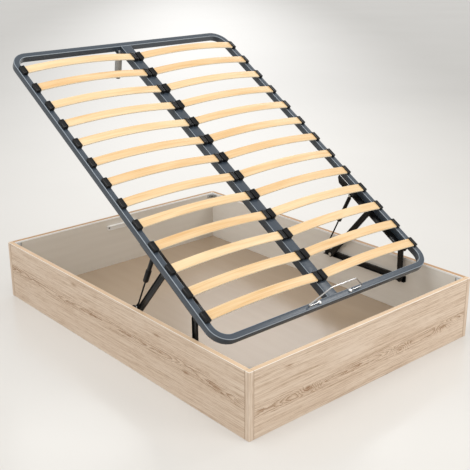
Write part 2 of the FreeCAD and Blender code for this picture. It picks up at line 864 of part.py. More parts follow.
def lift_arm(length):
    """Pressed arm: a trough round two pivots, open toward the wall."""
    radius = arm_width / 2
    shell = link_face((0, 0), radius, (length, 0), radius, arm_inner_x)
    shell = shell.extrude(Vector(arm_depth, 0, 0))
    inner = radius - arm_sheet
    trough = link_face((0, 0), inner, (length, 0), inner, arm_web_x)
    arm = shell.cut(trough.extrude(Vector(arm_depth, 0, 0)))
    for place in (0, length):
        hole = drum_x(
            pivot_radius + running_clearance, arm_inner_x - overrun, arm_outer_x, place, 0
        )
        arm = arm.cut(hole)
    return arm


def short_arm_rivet():
    """Headed rivet that closes the right short arm's lower eye."""
    shank = drum_x(pivot_radius, arm_inner_x, arm_web_x, 0, 0)
    head = drum_x(pivot_head_radius, arm_inner_x - pivot_head_height, arm_inner_x, 0, 0)
    tail = drum_x(pivot_collar_radius, arm_web_x, arm_web_x + pivot_nut_height, 0, 0)
    return shank.fuse([head, tail]).removeSplitter()


def strut_length():
    """Distance between the raised gas spring's two eyes."""
    return math.dist(linkage.strut_base, linkage.strut_top)


def strut_eye(place):
    """Flat eye of the gas spring, drilled for its pin."""
    half = strut_eye_width / 2
    eye = drum_x(strut_eye_radius, strut_x - half, strut_x + half, place, 0)
    hole = drum_x(
        strut_pin_radius + running_clearance, strut_x - half - overrun, strut_x + half + overrun,
        place, 0,
    )
    return eye, hole


def strut_rod():
    """Gas spring's rod with its lower eye and the piston inside the cylinder."""
    eye, hole = strut_eye(0)
    tip = rod_bare_length + sleeve_lip + rod_inserted_length
    neck = drum_y(strut_neck_radius, 0, strut_eye_radius + strut_neck_length, strut_x)
    rod = drum_y(rod_radius, 0, tip, strut_x)
    bore = cylinder_radius - cylinder_wall
    piston = drum_y(bore - piston_clearance, tip, tip + piston_length, strut_x)
    side = 2 * strut_eye_radius
    half = strut_eye_width / 2
    end = strut_eye_radius + strut_neck_length + overrun
    cheeks = [
        block(strut_x + half, strut_x + side, -side, end, -side, side),
        block(strut_x - side, strut_x - half, -side, end, -side, side),
    ]
    return eye.fuse([neck.cut(cheeks), rod, piston]).removeSplitter().cut(hole)


def rod_eye_rivet():
    """Headed rivet in the lower eye of the right gas spring."""
    half = strut_eye_width / 2
    shank = drum_x(strut_pin_radius, strut_x - half, strut_x + half, 0, 0)
    head = drum_x(
        strut_pin_head_radius, strut_x - half - strut_pin_head_height, strut_x - half, 0, 0
    )
    return shank.fuse(head).removeSplitter()


def strut_cylinder():
    """Gas spring's cylinder: bored tube, rod guide, closed end and upper eye."""
    start = rod_bare_length + sleeve_lip
    length = strut_length()
    end = length - strut_eye_radius - strut_neck_length
    body = drum_y(cylinder_radius, start, end, strut_x)
    bore = drum_y(
        cylinder_radius - cylinder_wall, start + cylinder_guide_length, end - cylinder_floor, strut_x
    )
    guide = drum_y(
        rod_radius + running_clearance, start - overrun, start + cylinder_guide_length + overrun,
        strut_x,
    )
    eye, hole = strut_eye(length)
    neck = drum_y(strut_neck_radius, end, length, strut_x)
    side = 2 * strut_eye_radius
    half = strut_eye_width / 2
    near = length - strut_eye_radius
    far = length + side
    cheeks = [
        block(strut_x + half, strut_x + side, near, far, -side, side),
        block(strut_x - side, strut_x - half, near, far, -side, side),
    ]
    whole = body.fuse([neck.cut(cheeks), eye]).removeSplitter()
    return whole.cut([bore, guide, hole])


def strut_sleeve():
    """Plastic sleeve over the cylinder's lower end, with a lip round the rod."""
    start = rod_bare_length
    body = drum_y(sleeve_radius, start, start + sleeve_length, strut_x)
    seat = drum_y(
        cylinder_radius + running_clearance, start + sleeve_lip, start + sleeve_length + overrun,
        strut_x,
    )
    passage = drum_y(
        rod_radius + sleeve_rod_clearance, start - overrun, start + sleeve_lip + overrun, strut_x
    )
    return body.cut([seat, passage])


def heading(start, end):
    """Angle of a line in the YZ plane, in degrees from +Y toward +Z."""
    return math.degrees(math.atan2(end[1] - start[1], end[0] - start[0]))


def save_chest():
    """Write the chest and what is fixed to it."""
    save("head_panel", end_panel(-1))
    save("foot_panel", end_panel(1))
    save_pair("side_panel", side_panel())
    save("floor_board", floor_board())
    for end_name, side_y in (("head", -1), ("foot", 1)):
        for side_name, side_x in (("left", -1), ("right", 1)):
            save("corner_post_" + end_name + "_" + side_name, corner_post(side_x, side_y))
            save("corner_brace_" + end_name + "_" + side_name, corner_brace(side_x, side_y))
    save("rest_ledge", rest_ledge())
    save_pair("base_rail", base_rail())
    save_pair("strut_anchor", strut_anchor())
    for name, piece in (
        ("long_arm_base_bolts", long_arm_base_bolt()),
        ("short_arm_base_studs", short_arm_base_stud()),
        ("strut_anchor_studs", strut_anchor_stud()),
    ):
        save(name, piece, mirrored(piece))


def save_frame():
    """Write the slatted frame and what is fixed to it."""
    tube = raised(side_tube())
    save_pair("side_tube", tube)
    save("head_tube", raised(end_tube(tube_width / 2)))
    save("foot_tube", raised(end_tube(frame_length - tube_width / 2)))
    save("corner_bends", *[raised(bend) for bend in corner_bends()])
    save("centre_beam", raised(centre_beam()))
    slats = [raised(slat_band(middle)) for middle in slat_places()]
    save("slats_right", *slats)
    save("slats_left", *[mirrored(slat) for slat in slats])
    caps = [raised(outer_cap(middle)) for middle in slat_places()]
    save("outer_caps_right", *caps)
    save("outer_caps_left", *[mirrored(cap) for cap in caps])
    inner_caps = [raised(centre_cap(middle)) for middle in slat_places()]
    save("centre_caps", *inner_caps, *[mirrored(cap) for cap in inner_caps])
    save_pair("upper_rail", raised(upper_rail()))
    bolts = [raised(arm_pivot_bolt(place)) for place in (long_arm_on_frame, short_arm_on_frame)]
    save("arm_pivot_bolts", *bolts, *[mirrored(bolt) for bolt in bolts])
    top_bolt = raised(strut_top_bolt())
    save("strut_top_bolts", top_bolt, mirrored(top_bolt))
    save("mattress_retainer", raised(mattress_retainer()))
    fixing = raised(retainer_fixing())
    save("retainer_fixings", fixing, mirrored(fixing))
    save("leg_bracket", raised(leg_bracket()))
    save("leg_pin", raised(leg_pin()))


def save_movers():
    """Write the leg, the arms and the gas springs in their raised places."""
    pivot = linkage.on_frame(*leg_pivot())
    save("leg_post", turned_to(leg_post(), leg_lean, pivot))
    save("leg_foot", turned_to(leg_foot(), leg_lean, pivot))
    long_heading = heading(linkage.long_base, linkage.long_top)
    save_pair("long_arm", turned_to(lift_arm(linkage.long_length), long_heading, linkage.long_base))
    short_heading = heading(linkage.short_base, linkage.short_top)
    short = turned_to(lift_arm(linkage.short_length), short_heading, linkage.short_base)
    save_pair("short_arm", short)
    rivet = turned_to(short_arm_rivet(), short_heading, linkage.short_base)
    save("short_arm_rivets", rivet, mirrored(rivet))
    strut_heading = heading(linkage.strut_base, linkage.strut_top)
    for name, piece in (
        ("strut_rod", strut_rod()), ("strut_cylinder", strut_cylinder()),
        ("strut_sleeve", strut_sleeve()),
    ):
        save_pair(name, turned_to(piece, strut_heading, linkage.strut_base))
    eye_rivet = turned_to(rod_eye_rivet(), strut_heading, linkage.strut_base)
    save("rod_eye_rivets", eye_rivet, mirrored(eye_rivet))


os.makedirs("parts", exist_ok=True)
save_chest()
save_frame()
save_movers()
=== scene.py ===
"""Looks of a lift-up storage bed base: oak-grain chest, slatted tube frame and gas-spring linkage.

All lengths are metres. Frame axes are X across, Y from the frame's low end and Z above its top
face; FramePose carries them to the raised frame.
"""

import logging
import math
from collections.abc import Callable
from dataclasses import dataclass, replace
from enum import Enum
from functools import partial

import bmesh
import bpy
from mathutils import Matrix, Vector


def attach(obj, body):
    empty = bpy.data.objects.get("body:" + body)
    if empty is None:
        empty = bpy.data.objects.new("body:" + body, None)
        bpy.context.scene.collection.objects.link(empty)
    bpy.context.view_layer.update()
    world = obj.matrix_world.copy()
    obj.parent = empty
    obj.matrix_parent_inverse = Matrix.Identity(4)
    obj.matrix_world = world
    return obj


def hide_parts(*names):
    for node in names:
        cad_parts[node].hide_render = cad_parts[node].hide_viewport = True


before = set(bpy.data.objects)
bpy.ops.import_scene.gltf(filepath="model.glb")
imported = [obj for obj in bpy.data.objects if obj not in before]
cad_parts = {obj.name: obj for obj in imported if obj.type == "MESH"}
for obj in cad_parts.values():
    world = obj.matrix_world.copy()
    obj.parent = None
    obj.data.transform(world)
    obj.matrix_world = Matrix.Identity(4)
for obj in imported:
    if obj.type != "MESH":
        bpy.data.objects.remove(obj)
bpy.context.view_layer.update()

log = logging.getLogger("bed_base")

MM = 0.001
MERGE_DISTANCE = 0.002 * MM
CAD_MERGE_DISTANCE = 0.005 * MM
FLAT_ANGLE = math.radians(1.5)
SHARP_ANGLE = math.radians(40)
SMOOTH_ANGLE = math.radians(32)
RIGHT_ANGLE = math.radians(90)
# Cosine above which a face counts as facing a direction
FACING = 0.95
UP = Vector((0, 0, 1))
SIDES = ((-1, "left"), (1, "right"))
# Vertex attribute that peaks along the rounded corners of a section, where a painted highlight goes
HIGHLIGHT_MARK = "edge_mark"
Mesh = bmesh.types.BMesh
Socket = bpy.types.NodeSocket
Add = Callable[..., Socket]
Triple = tuple[float, float, float]


class Body(Enum):
    """Rigid bodies of the part."""

    BOX = "box"
    LONG_ARMS = "long_arms"
    FRAME = "slat_frame"
    SHORT_ARMS = "short_arms"
    STRUT_TUBES = "strut_tubes"
    STRUT_RODS = "strut_rods"
    LEG = "leg"


class Grain(Enum):
    """Axis that a board's grain runs along."""

    ACROSS_BED = "X"
    ALONG_BED = "Y"
    UPRIGHT = "Z"


@dataclass(frozen=True)
class FramePose:
    """Raised place of the slatted frame."""

    low_y: float = -745.1418 * MM
    low_z: float = 327.7278 * MM
    tilt: float = math.radians(31.4)

    def matrix(self) -> Matrix:
        """Frame axes to bed axes."""
        return Matrix.Translation((0, self.low_y, self.low_z)) @ Matrix.Rotation(self.tilt, 4, "X")


POSE = FramePose()


def linear(code: str) -> tuple[float, float, float, float]:
    """Turn an sRGB hex colour into linear values.

    Args:
        code: Colour such as "#a0b0c0".

    Returns:
        Red, green, blue and alpha.
    """
    parts = [int(code[place:place + 2], 16) / 255 for place in (1, 3, 5)]
    values = [part / 12.92 if part <= 0.04045 else ((part + 0.055) / 1.055) ** 2.4 for part in parts]
    return (*values, 1.0)


def add_node(tree: bpy.types.NodeTree, kind: str, inputs: dict | tuple, output: str | None = None,
             **settings: str) -> Socket | None:
    """Add one shader node with its settings and links.

    Args:
        tree: Node tree that gets the node.
        kind: Node type name without its prefix.
        inputs: Values, hex colours or sockets, by name, or in order for the inputs in use.
        output: Name of the wanted output; the first one in use if not given.
        settings: Attributes of the node.

    Returns:
        The wanted output, or nothing for a node that has none.
    """
    node = tree.nodes.new("ShaderNode" + kind)
    for name, value in settings.items():
        setattr(node, name, value)
    if isinstance(inputs, dict):
        pairs = [(node.inputs[name], value) for name, value in inputs.items()]
    else:
        pairs = zip([socket for socket in node.inputs if socket.enabled], inputs)
    for socket, value in pairs:
        if isinstance(value, Socket):
            tree.links.new(value, socket)
        else:
            socket.default_value = linear(value) if isinstance(value, str) else value
    if output is not None:
        return node.outputs[output]
    return next((socket for socket in node.outputs if socket.enabled), None)


@dataclass(frozen=True)
class Finish:
    """A surface finish with one material."""

    name: str
    slot: str

    def material(self) -> bpy.types.Material:
        """Make the material once and hand it out again later.

        Returns:
            The material.
        """
        known = bpy.data.materials.get(self.name)
        if known is not None:
            return known
        made = bpy.data.materials.new(self.name)
        made.use_nodes = True
        made.node_tree.nodes.clear()
        add = partial(add_node, made.node_tree)
        shader = self.dress(add, add("TexCoord", {}, "Object"))
        add("OutputMaterial", {"Surface": shader})
        return made

    def dress(self, add: Add, place: Socket) -> Socket:
        """Make the finish's nodes and return the shader."""
        raise NotImplementedError


@dataclass(frozen=True)
class OakLaminate(Finish):
    """Printed oak foil pressed on board.

    The eye sees fine straight grain with a band of arched growth rings and a few knots, faint joints
    at the corner posts darkened as painted shade, a top edge painted pale on the near boards and brown
    on the far ones as painted light and shade, with a painted highlight on its rounded corners, and
    plain melamine inside with a painted highlight as a white line along its top.
    """

    grain: Grain = Grain.ALONG_BED
    light: str = "#ead6c1"
    middle: str = "#d7bea5"
    dark: str = "#9b7553"
    # Top edge of the near boards, painted paler than on the far boards as painted light
    rim_light: str = "#e6cbab"
    rim_dark: str = "#d2b08a"
    # Painted highlight on the rounded corners of the top edge
    rim_painted_highlight: str = "#f8efe4"
    # Painted shade along the joints with the posts
    joint_shade: str = "#b4977a"
    inside_light: str = "#e4dfd6"
    inside_dark: str = "#dad4ca"
    # Painted highlight: a white line along the top of the melamine inside
    inside_painted_highlight: str = "#fdfcfa"
    inside_highlight_height: float = 9 * MM
    inside_highlight_fade: float = 1 * MM
    skin: float = 0.4 * MM
    skin_end: float = 0.9 * MM
    ring_spacing: float = 4.6 * MM
    pith_height: float = 162 * MM
    pith_wander: float = 16 * MM
    pith_near: float = 5 * MM
    pith_far: float = 34 * MM
    flame_reach: float = 46 * MM
    streak_width: float = 5 * MM
    streak_length: float = 270 * MM
    pore_width: float = 1.6 * MM
    pore_length: float = 45 * MM
    band_width: float = 30 * MM
    band_length: float = 520 * MM
    knot_length: float = 34 * MM
    knot_width: float = 13 * MM
    knots: tuple[tuple[float, float], ...] = ()
    half_width: float = 700 * MM
    half_length: float = 950 * MM
    board: float = 25 * MM
    rim: float = 300 * MM
    rounding: float = 2.5 * MM
    relief: float = 0.12 * MM

    def dress(self, add: Add, place: Socket) -> Socket:
        """Grain outside, melamine inside, rim and joints at the edges, with painted highlights and shade.

        Args:
            add: Adds a node to the material.
            place: Place on the object.

        Returns:
            The shader.
        """
        axes = add("SeparateXYZ", (place,)).node.outputs
        size = {name: add("Math", (axes[name],), operation="ABSOLUTE") for name in "XY"}
        through = "X" if self.grain is Grain.ALONG_BED else "Y"
        across, depth = axes["Z"], axes[through]
        if self.grain is Grain.UPRIGHT:
            across = add("Math", (axes["X"], axes["Y"]), operation="ADD")
            depth = add("Math", (axes["X"], axes["Y"]), operation="SUBTRACT")
        sheet = add("CombineXYZ", (axes[self.grain.value], across, depth))
        # Print too fine to show at bed size is drawn with streaks a few millimetres wide
        streaks, bands, pores = (
            add("TexNoise", {
                "Vector": add("Mapping", {"Vector": sheet, "Scale": (1 / length, 1 / width, 3.0)}),
                "Scale": 1.0, "Detail": detail, "Roughness": roughness,
            })
            for length, width, detail, roughness in (
                (self.streak_length, self.streak_width, 4.0, 0.65),
                (self.band_length, self.band_width, 2.0, 0.5),
                (self.pore_length, self.pore_width, 1.0, 0.5),
            )
        )
        # Streaks give most of the tone, bands its broad changes and pores short dark dashes
        tone = add("Math", (streaks, 1.1, -0.125), operation="MULTIPLY_ADD")
        tone = add("Math", (bands, 0.32, tone), operation="MULTIPLY_ADD")
        dashes = add("MapRange", {
            "Value": pores, "From Min": 0.36, "From Max": 0.5, "To Min": 0.14, "To Max": 0.0})
        tone = add("Math", (tone, dashes), operation="SUBTRACT")
        tone = self.flame(add, sheet, across, pores, tone)
        colour = self.dark
        for low, high, lighter in ((0.14, 0.45, self.middle), (0.45, 0.66, self.light)):
            share = add("MapRange", (tone, low, high))
            colour = add("Mix", (share, colour, lighter), data_type="RGBA")
        colour = self.edges(add, colour, streaks, size, axes["Z"])
        if self.grain is not Grain.UPRIGHT:
            inner = (self.half_width if through == "X" else self.half_length) - self.board
            # Painted highlight as a white line along the top of the melamine inside
            edge = self.rim - self.inside_highlight_height
            plain = add("Mix", (bands, self.inside_dark, self.inside_light), data_type="RGBA")
            line = add("MapRange", (axes["Z"], edge, edge + self.inside_highlight_fade))
            plain = add("Mix", (line, plain, self.inside_painted_highlight), data_type="RGBA")
            within = add("MapRange", (size[through], inner + self.skin_end, inner + self.skin))
            colour = add("Mix", (within, colour, plain), data_type="RGBA")
        return add("BsdfPrincipled", {
            "Base Color": colour, "IOR": 1.5,
            "Roughness": add("MapRange", {"Value": streaks, "To Min": 0.55, "To Max": 0.38}),
            "Normal": add("Bump", {"Height": streaks, "Distance": self.relief, "Strength": 0.5}),
        })

    def flame(self, add: Add, sheet: Socket, across: Socket, pores: Socket, tone: Socket) -> Socket:
        """Darken the tone along growth rings and knots.

        The board is cut from a log whose pith wanders near the surface, so the rings meet it as arches.

        Args:
            add: Adds a node to the material.
            sheet: Place along, across and through the board.
            across: Place across the grain.
            pores: Fine dashes that fray the rings.
            tone: Lightness of the plain grain.

        Returns:
            Lightness with rings and knots.
        """
        # Slow wander of the pith, its depth under the face, and a fine swirl of the rings
        wander, sink, swirl = (
            add("TexNoise", {
                "Vector": add("Mapping", {"Vector": sheet, "Location": (start, 0, 0), "Scale": waves}),
                "Scale": 1.0, "Detail": detail,
            })
            for start, waves, detail in (
                (0.0, (1.3, 0.0, 3.0), 1.0), (5.0, (2.4, 0.0, 3.0), 1.5), (0.0, (9.0, 60.0, 3.0), 2.0))
        )
        height = add("MapRange", {
            "Value": wander, "From Min": 0.3, "From Max": 0.7,
            "To Min": self.pith_height - self.pith_wander, "To Max": self.pith_height + self.pith_wander})
        offset = add("Math", (across, height), operation="SUBTRACT")
        cover = add("MapRange", {
            "Value": sink, "From Min": 0.28, "From Max": 0.72,
            "To Min": self.pith_near, "To Max": self.pith_far})
        radius = add("VectorMath", (add("CombineXYZ", (offset, cover)),), operation="LENGTH")
        fray = add("Math", (pores, 1.1, swirl), operation="MULTIPLY_ADD")
        count = add("Math", (radius, 1 / self.ring_spacing, fray), operation="MULTIPLY_ADD")
        core = 0.0
        for along, up in self.knots:
            centred = add("Mapping", {
                "Vector": sheet, "Location": (along, up, 0.0),
                "Scale": (self.knot_length, self.knot_width, 1e6)}, vector_type="TEXTURE")
            reach = add("VectorMath", (centred,), operation="LENGTH")
            bulge = add("MapRange", {
                "Value": reach, "From Min": 0.0, "From Max": 2.6, "To Min": 4.5, "To Max": 0.0},
                interpolation_type="SMOOTHSTEP")
            count = add("Math", (count, bulge), operation="ADD")
            spot = add("MapRange", {
                "Value": reach, "From Min": 0.25, "From Max": 1.0, "To Min": 1.0, "To Max": 0.0})
            core = add("Math", (core, spot), operation="MAXIMUM")
        ring = add("Math", (add("Math", (count,), operation="FRACT"), 2.0), operation="POWER")
        near = add("MapRange", {
            "Value": add("Math", (offset,), operation="ABSOLUTE"),
            "From Min": 0.0, "From Max": self.flame_reach, "To Min": 0.45, "To Max": 0.05},
            interpolation_type="SMOOTHSTEP")
        shade = add("Math", (ring, near), operation="MULTIPLY")
        shade = add("Math", (core, 0.22, shade), operation="MULTIPLY_ADD")
        return add("Math", (tone, shade), operation="SUBTRACT")

    def edges(self, add: Add, oak: Socket, streaks: Socket, size: dict[str, Socket], up: Socket) -> Socket:
        """Colour the top edge with a painted highlight on its rounded corners, and painted shade at the
        joints with the posts.

        Args:
            add: Adds a node to the material.
            oak: Colour of the faces.
            streaks: Fine grain.
            size: Distances from the bed's middle planes.
            up: Height.

        Returns:
            The whole colour.
        """
        half = {"X": self.half_width, "Y": self.half_length}
        inset = {
            name: add("Math", (size[name], half[name] - self.board), operation="SUBTRACT") for name in half
        }
        if self.grain is Grain.UPRIGHT:
            both = (inset["X"], inset["Y"])
            seam = add("Math", both, operation="MINIMUM")
            edge = add("Math", (self.board, add("Math", both, operation="MAXIMUM")), operation="SUBTRACT")
        else:
            through, along = ("X", "Y") if self.grain is Grain.ALONG_BED else ("Y", "X")
            seam = add("Math", (inset[along],), operation="ABSOLUTE")
            edge = add("Math", (inset[through], self.board / 2), operation="PINGPONG")
        near, nearer = 0.6 * self.rounding, 0.3 * self.rounding
        top = add("Mix", (streaks, self.rim_dark, self.rim_light), data_type="RGBA")
        # Painted highlight on the rounded corners of the top edge
        corner = add("MapRange", (edge, self.rounding, near))
        top = add("Mix", (corner, top, self.rim_painted_highlight), data_type="RGBA")
        crown = add("MapRange", (up, self.rim - self.rounding, self.rim - near))
        colour = add("Mix", (crown, oak, top), data_type="RGBA")
        # Painted shade in the gap at the joints with the posts
        return add("Mix", (add("MapRange", (seam, near, nearer)), colour, self.joint_shade), data_type="RGBA")


@dataclass(frozen=True)
class EvenSurface(Finish):
    """Surface of one even colour with a slight texture, drawn coarse enough to show."""

    colour: str
    shade: str
    smooth: float
    rough: float
    texture: float
    relief: float
    detail: float = 2.0
    strength: float = 0.4
    metallic: float = 0.0
    ior: float = 1.5
    specular: float = 0.5
    clouds: Triple | None = None
    cloud_detail: float = 3.0
    # Colour of a painted highlight along the marked rounded edges
    edge: str | None = None

    def dress(self, add: Add, place: Socket) -> Socket:
        """Texture in the sheen and the relief, clouds in the colour, a painted highlight on marked edges.

        Args:
            add: Adds a node to the material.
            place: Place on the object.

        Returns:
            The shader.
        """
        texture = add("TexNoise", {"Vector": place, "Scale": 1 / self.texture, "Detail": self.detail})
        tone = texture
        if self.clouds is not None:
            waves = tuple(1 / size for size in self.clouds)
            tone = add("TexNoise", {
                "Vector": add("Mapping", {"Vector": place, "Scale": waves}),
                "Scale": 1.0, "Detail": self.cloud_detail})
        colour = add("Mix", (tone, self.shade, self.colour), data_type="RGBA")
        # Painted highlight on the marked rounded edges
        if self.edge is not None:
            painted_highlight = add("Attribute", {}, "Fac", attribute_name=HIGHLIGHT_MARK)
            colour = add("Mix", (painted_highlight, colour, self.edge), data_type="RGBA")
        sheen = self.rough
        if self.smooth < self.rough:
            sheen = add("MapRange", {"Value": texture, "To Min": self.smooth, "To Max": self.rough})
        return add("BsdfPrincipled", {
            "Base Color": colour, "Roughness": sheen, "Metallic": self.metallic,
            "IOR": self.ior, "Specular IOR Level": self.specular,
            "Normal": add("Bump", {
                "Height": texture, "Distance": self.relief, "Strength": self.strength}),
        })


@dataclass(frozen=True)
class FloorMelamine(EvenSurface):
    """Melamine-faced board: even grey-brown with a faint print along the bed and a low sheen."""

    colour: str = "#b9a58e"
    shade: str = "#ae9981"
    smooth: float = 0.22
    rough: float = 0.22
    texture: float = 1.4 * MM
    relief: float = 0.03 * MM
    detail: float = 1.0
    specular: float = 0.75
    clouds: Triple = (60 * MM, 600 * MM, 1.0)


@dataclass(frozen=True)
class PowderCoat(EvenSurface):
    """Baked powder on steel: an even colour with fine orange peel, a soft sheen and a painted edge
    highlight.
    """

    colour: str = "#434d58"
    shade: str = "#3c454f"
    smooth: float = 0.19
    rough: float = 0.31
    texture: float = 1.8 * MM
    relief: float = 0.05 * MM
    ior: float = 1.52
    clouds: Triple = (110 * MM, 110 * MM, 110 * MM)
    # Painted highlight along the tube's rounded corners
    edge: str = "#aab4bd"


@dataclass(frozen=True)
class BirchVeneer(Finish):
    """Bent birch multiply with a clear lacquer: fine long grain, and ply lines on pale edges, partly
    painted light.
    """

    light: str = "#f5daad"
    dark: str = "#e2b57b"
    # Ply edge and glue lines: their own pale tone, lightened further as painted light on the shaded sides
    edge: str = "#fbeed4"
    glue: str = "#d9b47e"
    end_margin: float = 134 * MM
    pitch: float = 131 * MM
    bow_middle: float = 332 * MM
    bow_half: float = 322 * MM
    bow_rise: float = 22 * MM
    bow_top: float = 25 * MM
    thickness: float = 8 * MM
    ply: float = 1.6 * MM
    grain_width: float = 5.5 * MM
    grain_length: float = 210 * MM
    figure_width: float = 32 * MM
    figure_length: float = 330 * MM
    relief: float = 0.04 * MM

    def dress(self, add: Add, place: Socket) -> Socket:
        """Grain along each slat, its own tone for each slat, ply lines through its thickness, pale sides
        partly painted light.

        Args:
            add: Adds a node to the material.
            place: Place on the object.

        Returns:
            The shader.
        """
        laid = add("Mapping", {
            "Vector": place, "Location": (0, POSE.low_y, POSE.low_z),
            "Rotation": (POSE.tilt, 0, 0)}, vector_type="TEXTURE")
        across, along, up = add("SeparateXYZ", (laid,)).node.outputs
        start = add("Math", (along, self.end_margin), operation="SUBTRACT")
        row = add("Math", (add("Math", (start, self.pitch), operation="DIVIDE"),), operation="ROUND")
        # Each slat has a number of its own, which gives it its own tone and grain
        side = add("Math", (across,), operation="SIGN")
        slat = add("Math", (side, 40.0, row), operation="MULTIPLY_ADD")
        chance = add("TexWhiteNoise", {"W": slat}, noise_dimensions="1D")
        sheet = add("CombineXYZ", (across, along, add("Math", (chance, 9.0), operation="MULTIPLY")))
        grain, figure = (
            add("TexNoise", {
                "Vector": add("Mapping", {"Vector": sheet, "Scale": (1 / length, 1 / width, 1.0)}),
                "Scale": 1.0, "Detail": detail, "Distortion": distortion,
            })
            for length, width, detail, distortion in (
                (self.grain_length, self.grain_width, 4.0, 0.0),
                (self.figure_length, self.figure_width, 2.0, 0.6),
            )
        )
        tone = add("Math", (grain, figure), operation="ADD")
        tone = add("Math", (chance, 0.3, tone), operation="MULTIPLY_ADD")
        wood = add("Mix", (add("MapRange", (tone, 0.75, 1.5)), self.dark, self.light), data_type="RGBA")
        radius = (self.bow_half ** 2 + self.bow_rise ** 2) / (2 * self.bow_rise)
        sideways = add("Math", (
            add("Math", (across,), operation="ABSOLUTE"), self.bow_middle), operation="SUBTRACT")
        upward = add("Math", (up, self.bow_top - radius), operation="SUBTRACT")
        reach = add("VectorMath", (add("CombineXYZ", (sideways, upward)),), operation="LENGTH")
        deep = add("Math", (reach, radius), operation="SUBTRACT")
        line = add("MapRange", {
            "Value": add("Math", (deep, self.ply), operation="PINGPONG"),
            "From Min": 0.45 * MM, "From Max": 0.15 * MM, "To Max": 0.5})
        # Pale ply sides and light glue lines: partly the ply's own colour, partly painted light on the
        # shaded sides
        skin = add("MapRange", {
            "Value": add("Math", (deep, self.thickness / 2), operation="PINGPONG"),
            "From Min": 0.7 * MM, "From Max": 1.1 * MM})
        wood = add("Mix", (skin, wood, self.edge), data_type="RGBA")
        shown = add("Math", (line, skin), operation="MULTIPLY")
        wood = add("Mix", (shown, wood, self.glue), data_type="RGBA")
        return add("BsdfPrincipled", {
            "Base Color": wood, "Roughness": 0.36, "IOR": 1.5,
            "Normal": add("Bump", {"Height": grain, "Distance": self.relief, "Strength": 0.4}),
        })


@dataclass(frozen=True)
class MouldedPlastic(EvenSurface):
    """Moulded polypropylene: one colour through, with a fine eroded texture and a dull shine."""

    colour: str = "#0d0d0e"
    shade: str = "#070708"
    smooth: float = 0.26
    rough: float = 0.42
    texture: float = 1.1 * MM
    relief: float = 0.05 * MM
    ior: float = 1.49
    specular: float = 0.3


@dataclass(frozen=True)
class PlatedSteel(EvenSurface):
    """Plated steel: zinc with a faint spangle, or polished chrome."""

    colour: str = "#dcdddb"
    shade: str = "#c3c5c4"
    smooth: float = 0.304
    rough: float = 0.475
    texture: float = 5 * MM
    relief: float = 0.02 * MM
    detail: float = 3.0
    strength: float = 0.3
    metallic: float = 1.0


@dataclass(frozen=True)
class StudioFloor(EvenSurface):
    """Polished pale screed: broad clouds, a slight trowel ripple and a soft mirror image.

    Behind the bed it fades to a white backdrop, which is seen but lights nothing.
    """

    colour: str = "#d3d0cb"
    shade: str = "#cac7c1"
    smooth: float = 0.19
    rough: float = 0.19
    texture: float = 80 * MM
    relief: float = 0.3 * MM
    strength: float = 0.2
    ior: float = 1.45
    clouds: Triple = (1.3, 1.3, 1.3)
    cloud_detail: float = 2.0
    glow_place: Triple = (6.7, 8.6, 0.0)
    glow_turn: float = math.radians(-38.2)
    glow_reach: Triple = (3.5, 18.0, 1.0)
    glow_base: float = 0.055
    glow_strength: float = 0.47

    def dress(self, add: Add, place: Socket) -> Socket:
        """Screed with the backdrop's glow.

        Args:
            add: Adds a node to the material.
            place: Place on the floor.

        Returns:
            The shader.
        """
        path = add("LightPath", {}).node.outputs
        seen = path["Is Camera Ray"]
        for ray in ("Is Glossy Ray", "Is Transmission Ray"):
            seen = add("Math", (seen, path[ray]), operation="MAXIMUM")
        centred = add("Mapping", {
            "Vector": place, "Location": self.glow_place, "Rotation": (0, 0, self.glow_turn),
            "Scale": self.glow_reach}, vector_type="TEXTURE")
        spread = add("MapRange", {
            "Value": add("TexGradient", {"Vector": centred}, gradient_type="SPHERICAL"),
            "To Min": self.glow_base, "To Max": self.glow_strength}, interpolation_type="SMOOTHSTEP")
        backdrop = add("Emission", {"Strength": add("Math", (seen, spread), operation="MULTIPLY")})
        return add("AddShader", (super().dress(add, place), backdrop))


# Near side and near end: their top edge keeps the paler colour, painted light
SIDE_OAK = OakLaminate(
    "oak_foil_side", "oak_board", grain=Grain.ALONG_BED,
    knots=((0.30, 0.262), (-0.36, 0.24), (-0.56, 0.145)),
)
END_OAK = OakLaminate(
    "oak_foil_end", "oak_board", grain=Grain.ACROSS_BED, pith_height=112 * MM,
    knots=((-0.49, 0.255), (-0.38, 0.115), (0.20, 0.095), (0.51, 0.105)),
)
# Copy for the far side: top edge darker as painted shade, melamine inside lighter as painted light
FAR_SIDE_OAK_PAINTED_SHADE_AND_LIGHT = replace(
    SIDE_OAK, name="oak_foil_far_side", rim_light="#c69b6d", rim_dark="#a67d52",
    inside_light="#f0ece5", inside_dark="#e8e3da",
)
# Copy for the far end: top edge and melamine inside darker, as painted shade
FAR_END_OAK_PAINTED_SHADE = replace(
    END_OAK, name="oak_foil_far_end", rim_light="#c69b6d", rim_dark="#a67d52",
    inside_light="#ddd7cd", inside_dark="#d3ccc1",
)
POST_OAK = OakLaminate("oak_foil_post", "oak_board", grain=Grain.UPRIGHT)
FLOOR_BOARD = FloorMelamine("melamine_floor_board", "floor_board")
SLATE = PowderCoat("slate_powder_coat", "slate_tube")
BLACK_STEEL = PowderCoat(
    "black_powder_coat", "black_steel", "#0f0f10", "#0a0a0b", 0.22, 0.34, specular=0.3)
SILVER = PowderCoat("silver_powder_coat", "grey_metal", "#a3a3a1", "#949492", 0.24, 0.36)
ZINC_LACQUER = PowderCoat("zinc_lacquer", "zinc_steel", "#f4f4f2", "#ececea", 0.29, 0.41)
BIRCH = BirchVeneer("birch_multiply", "birch_slat")
BLACK_PLASTIC = MouldedPlastic("moulded_polypropylene", "black_plastic")
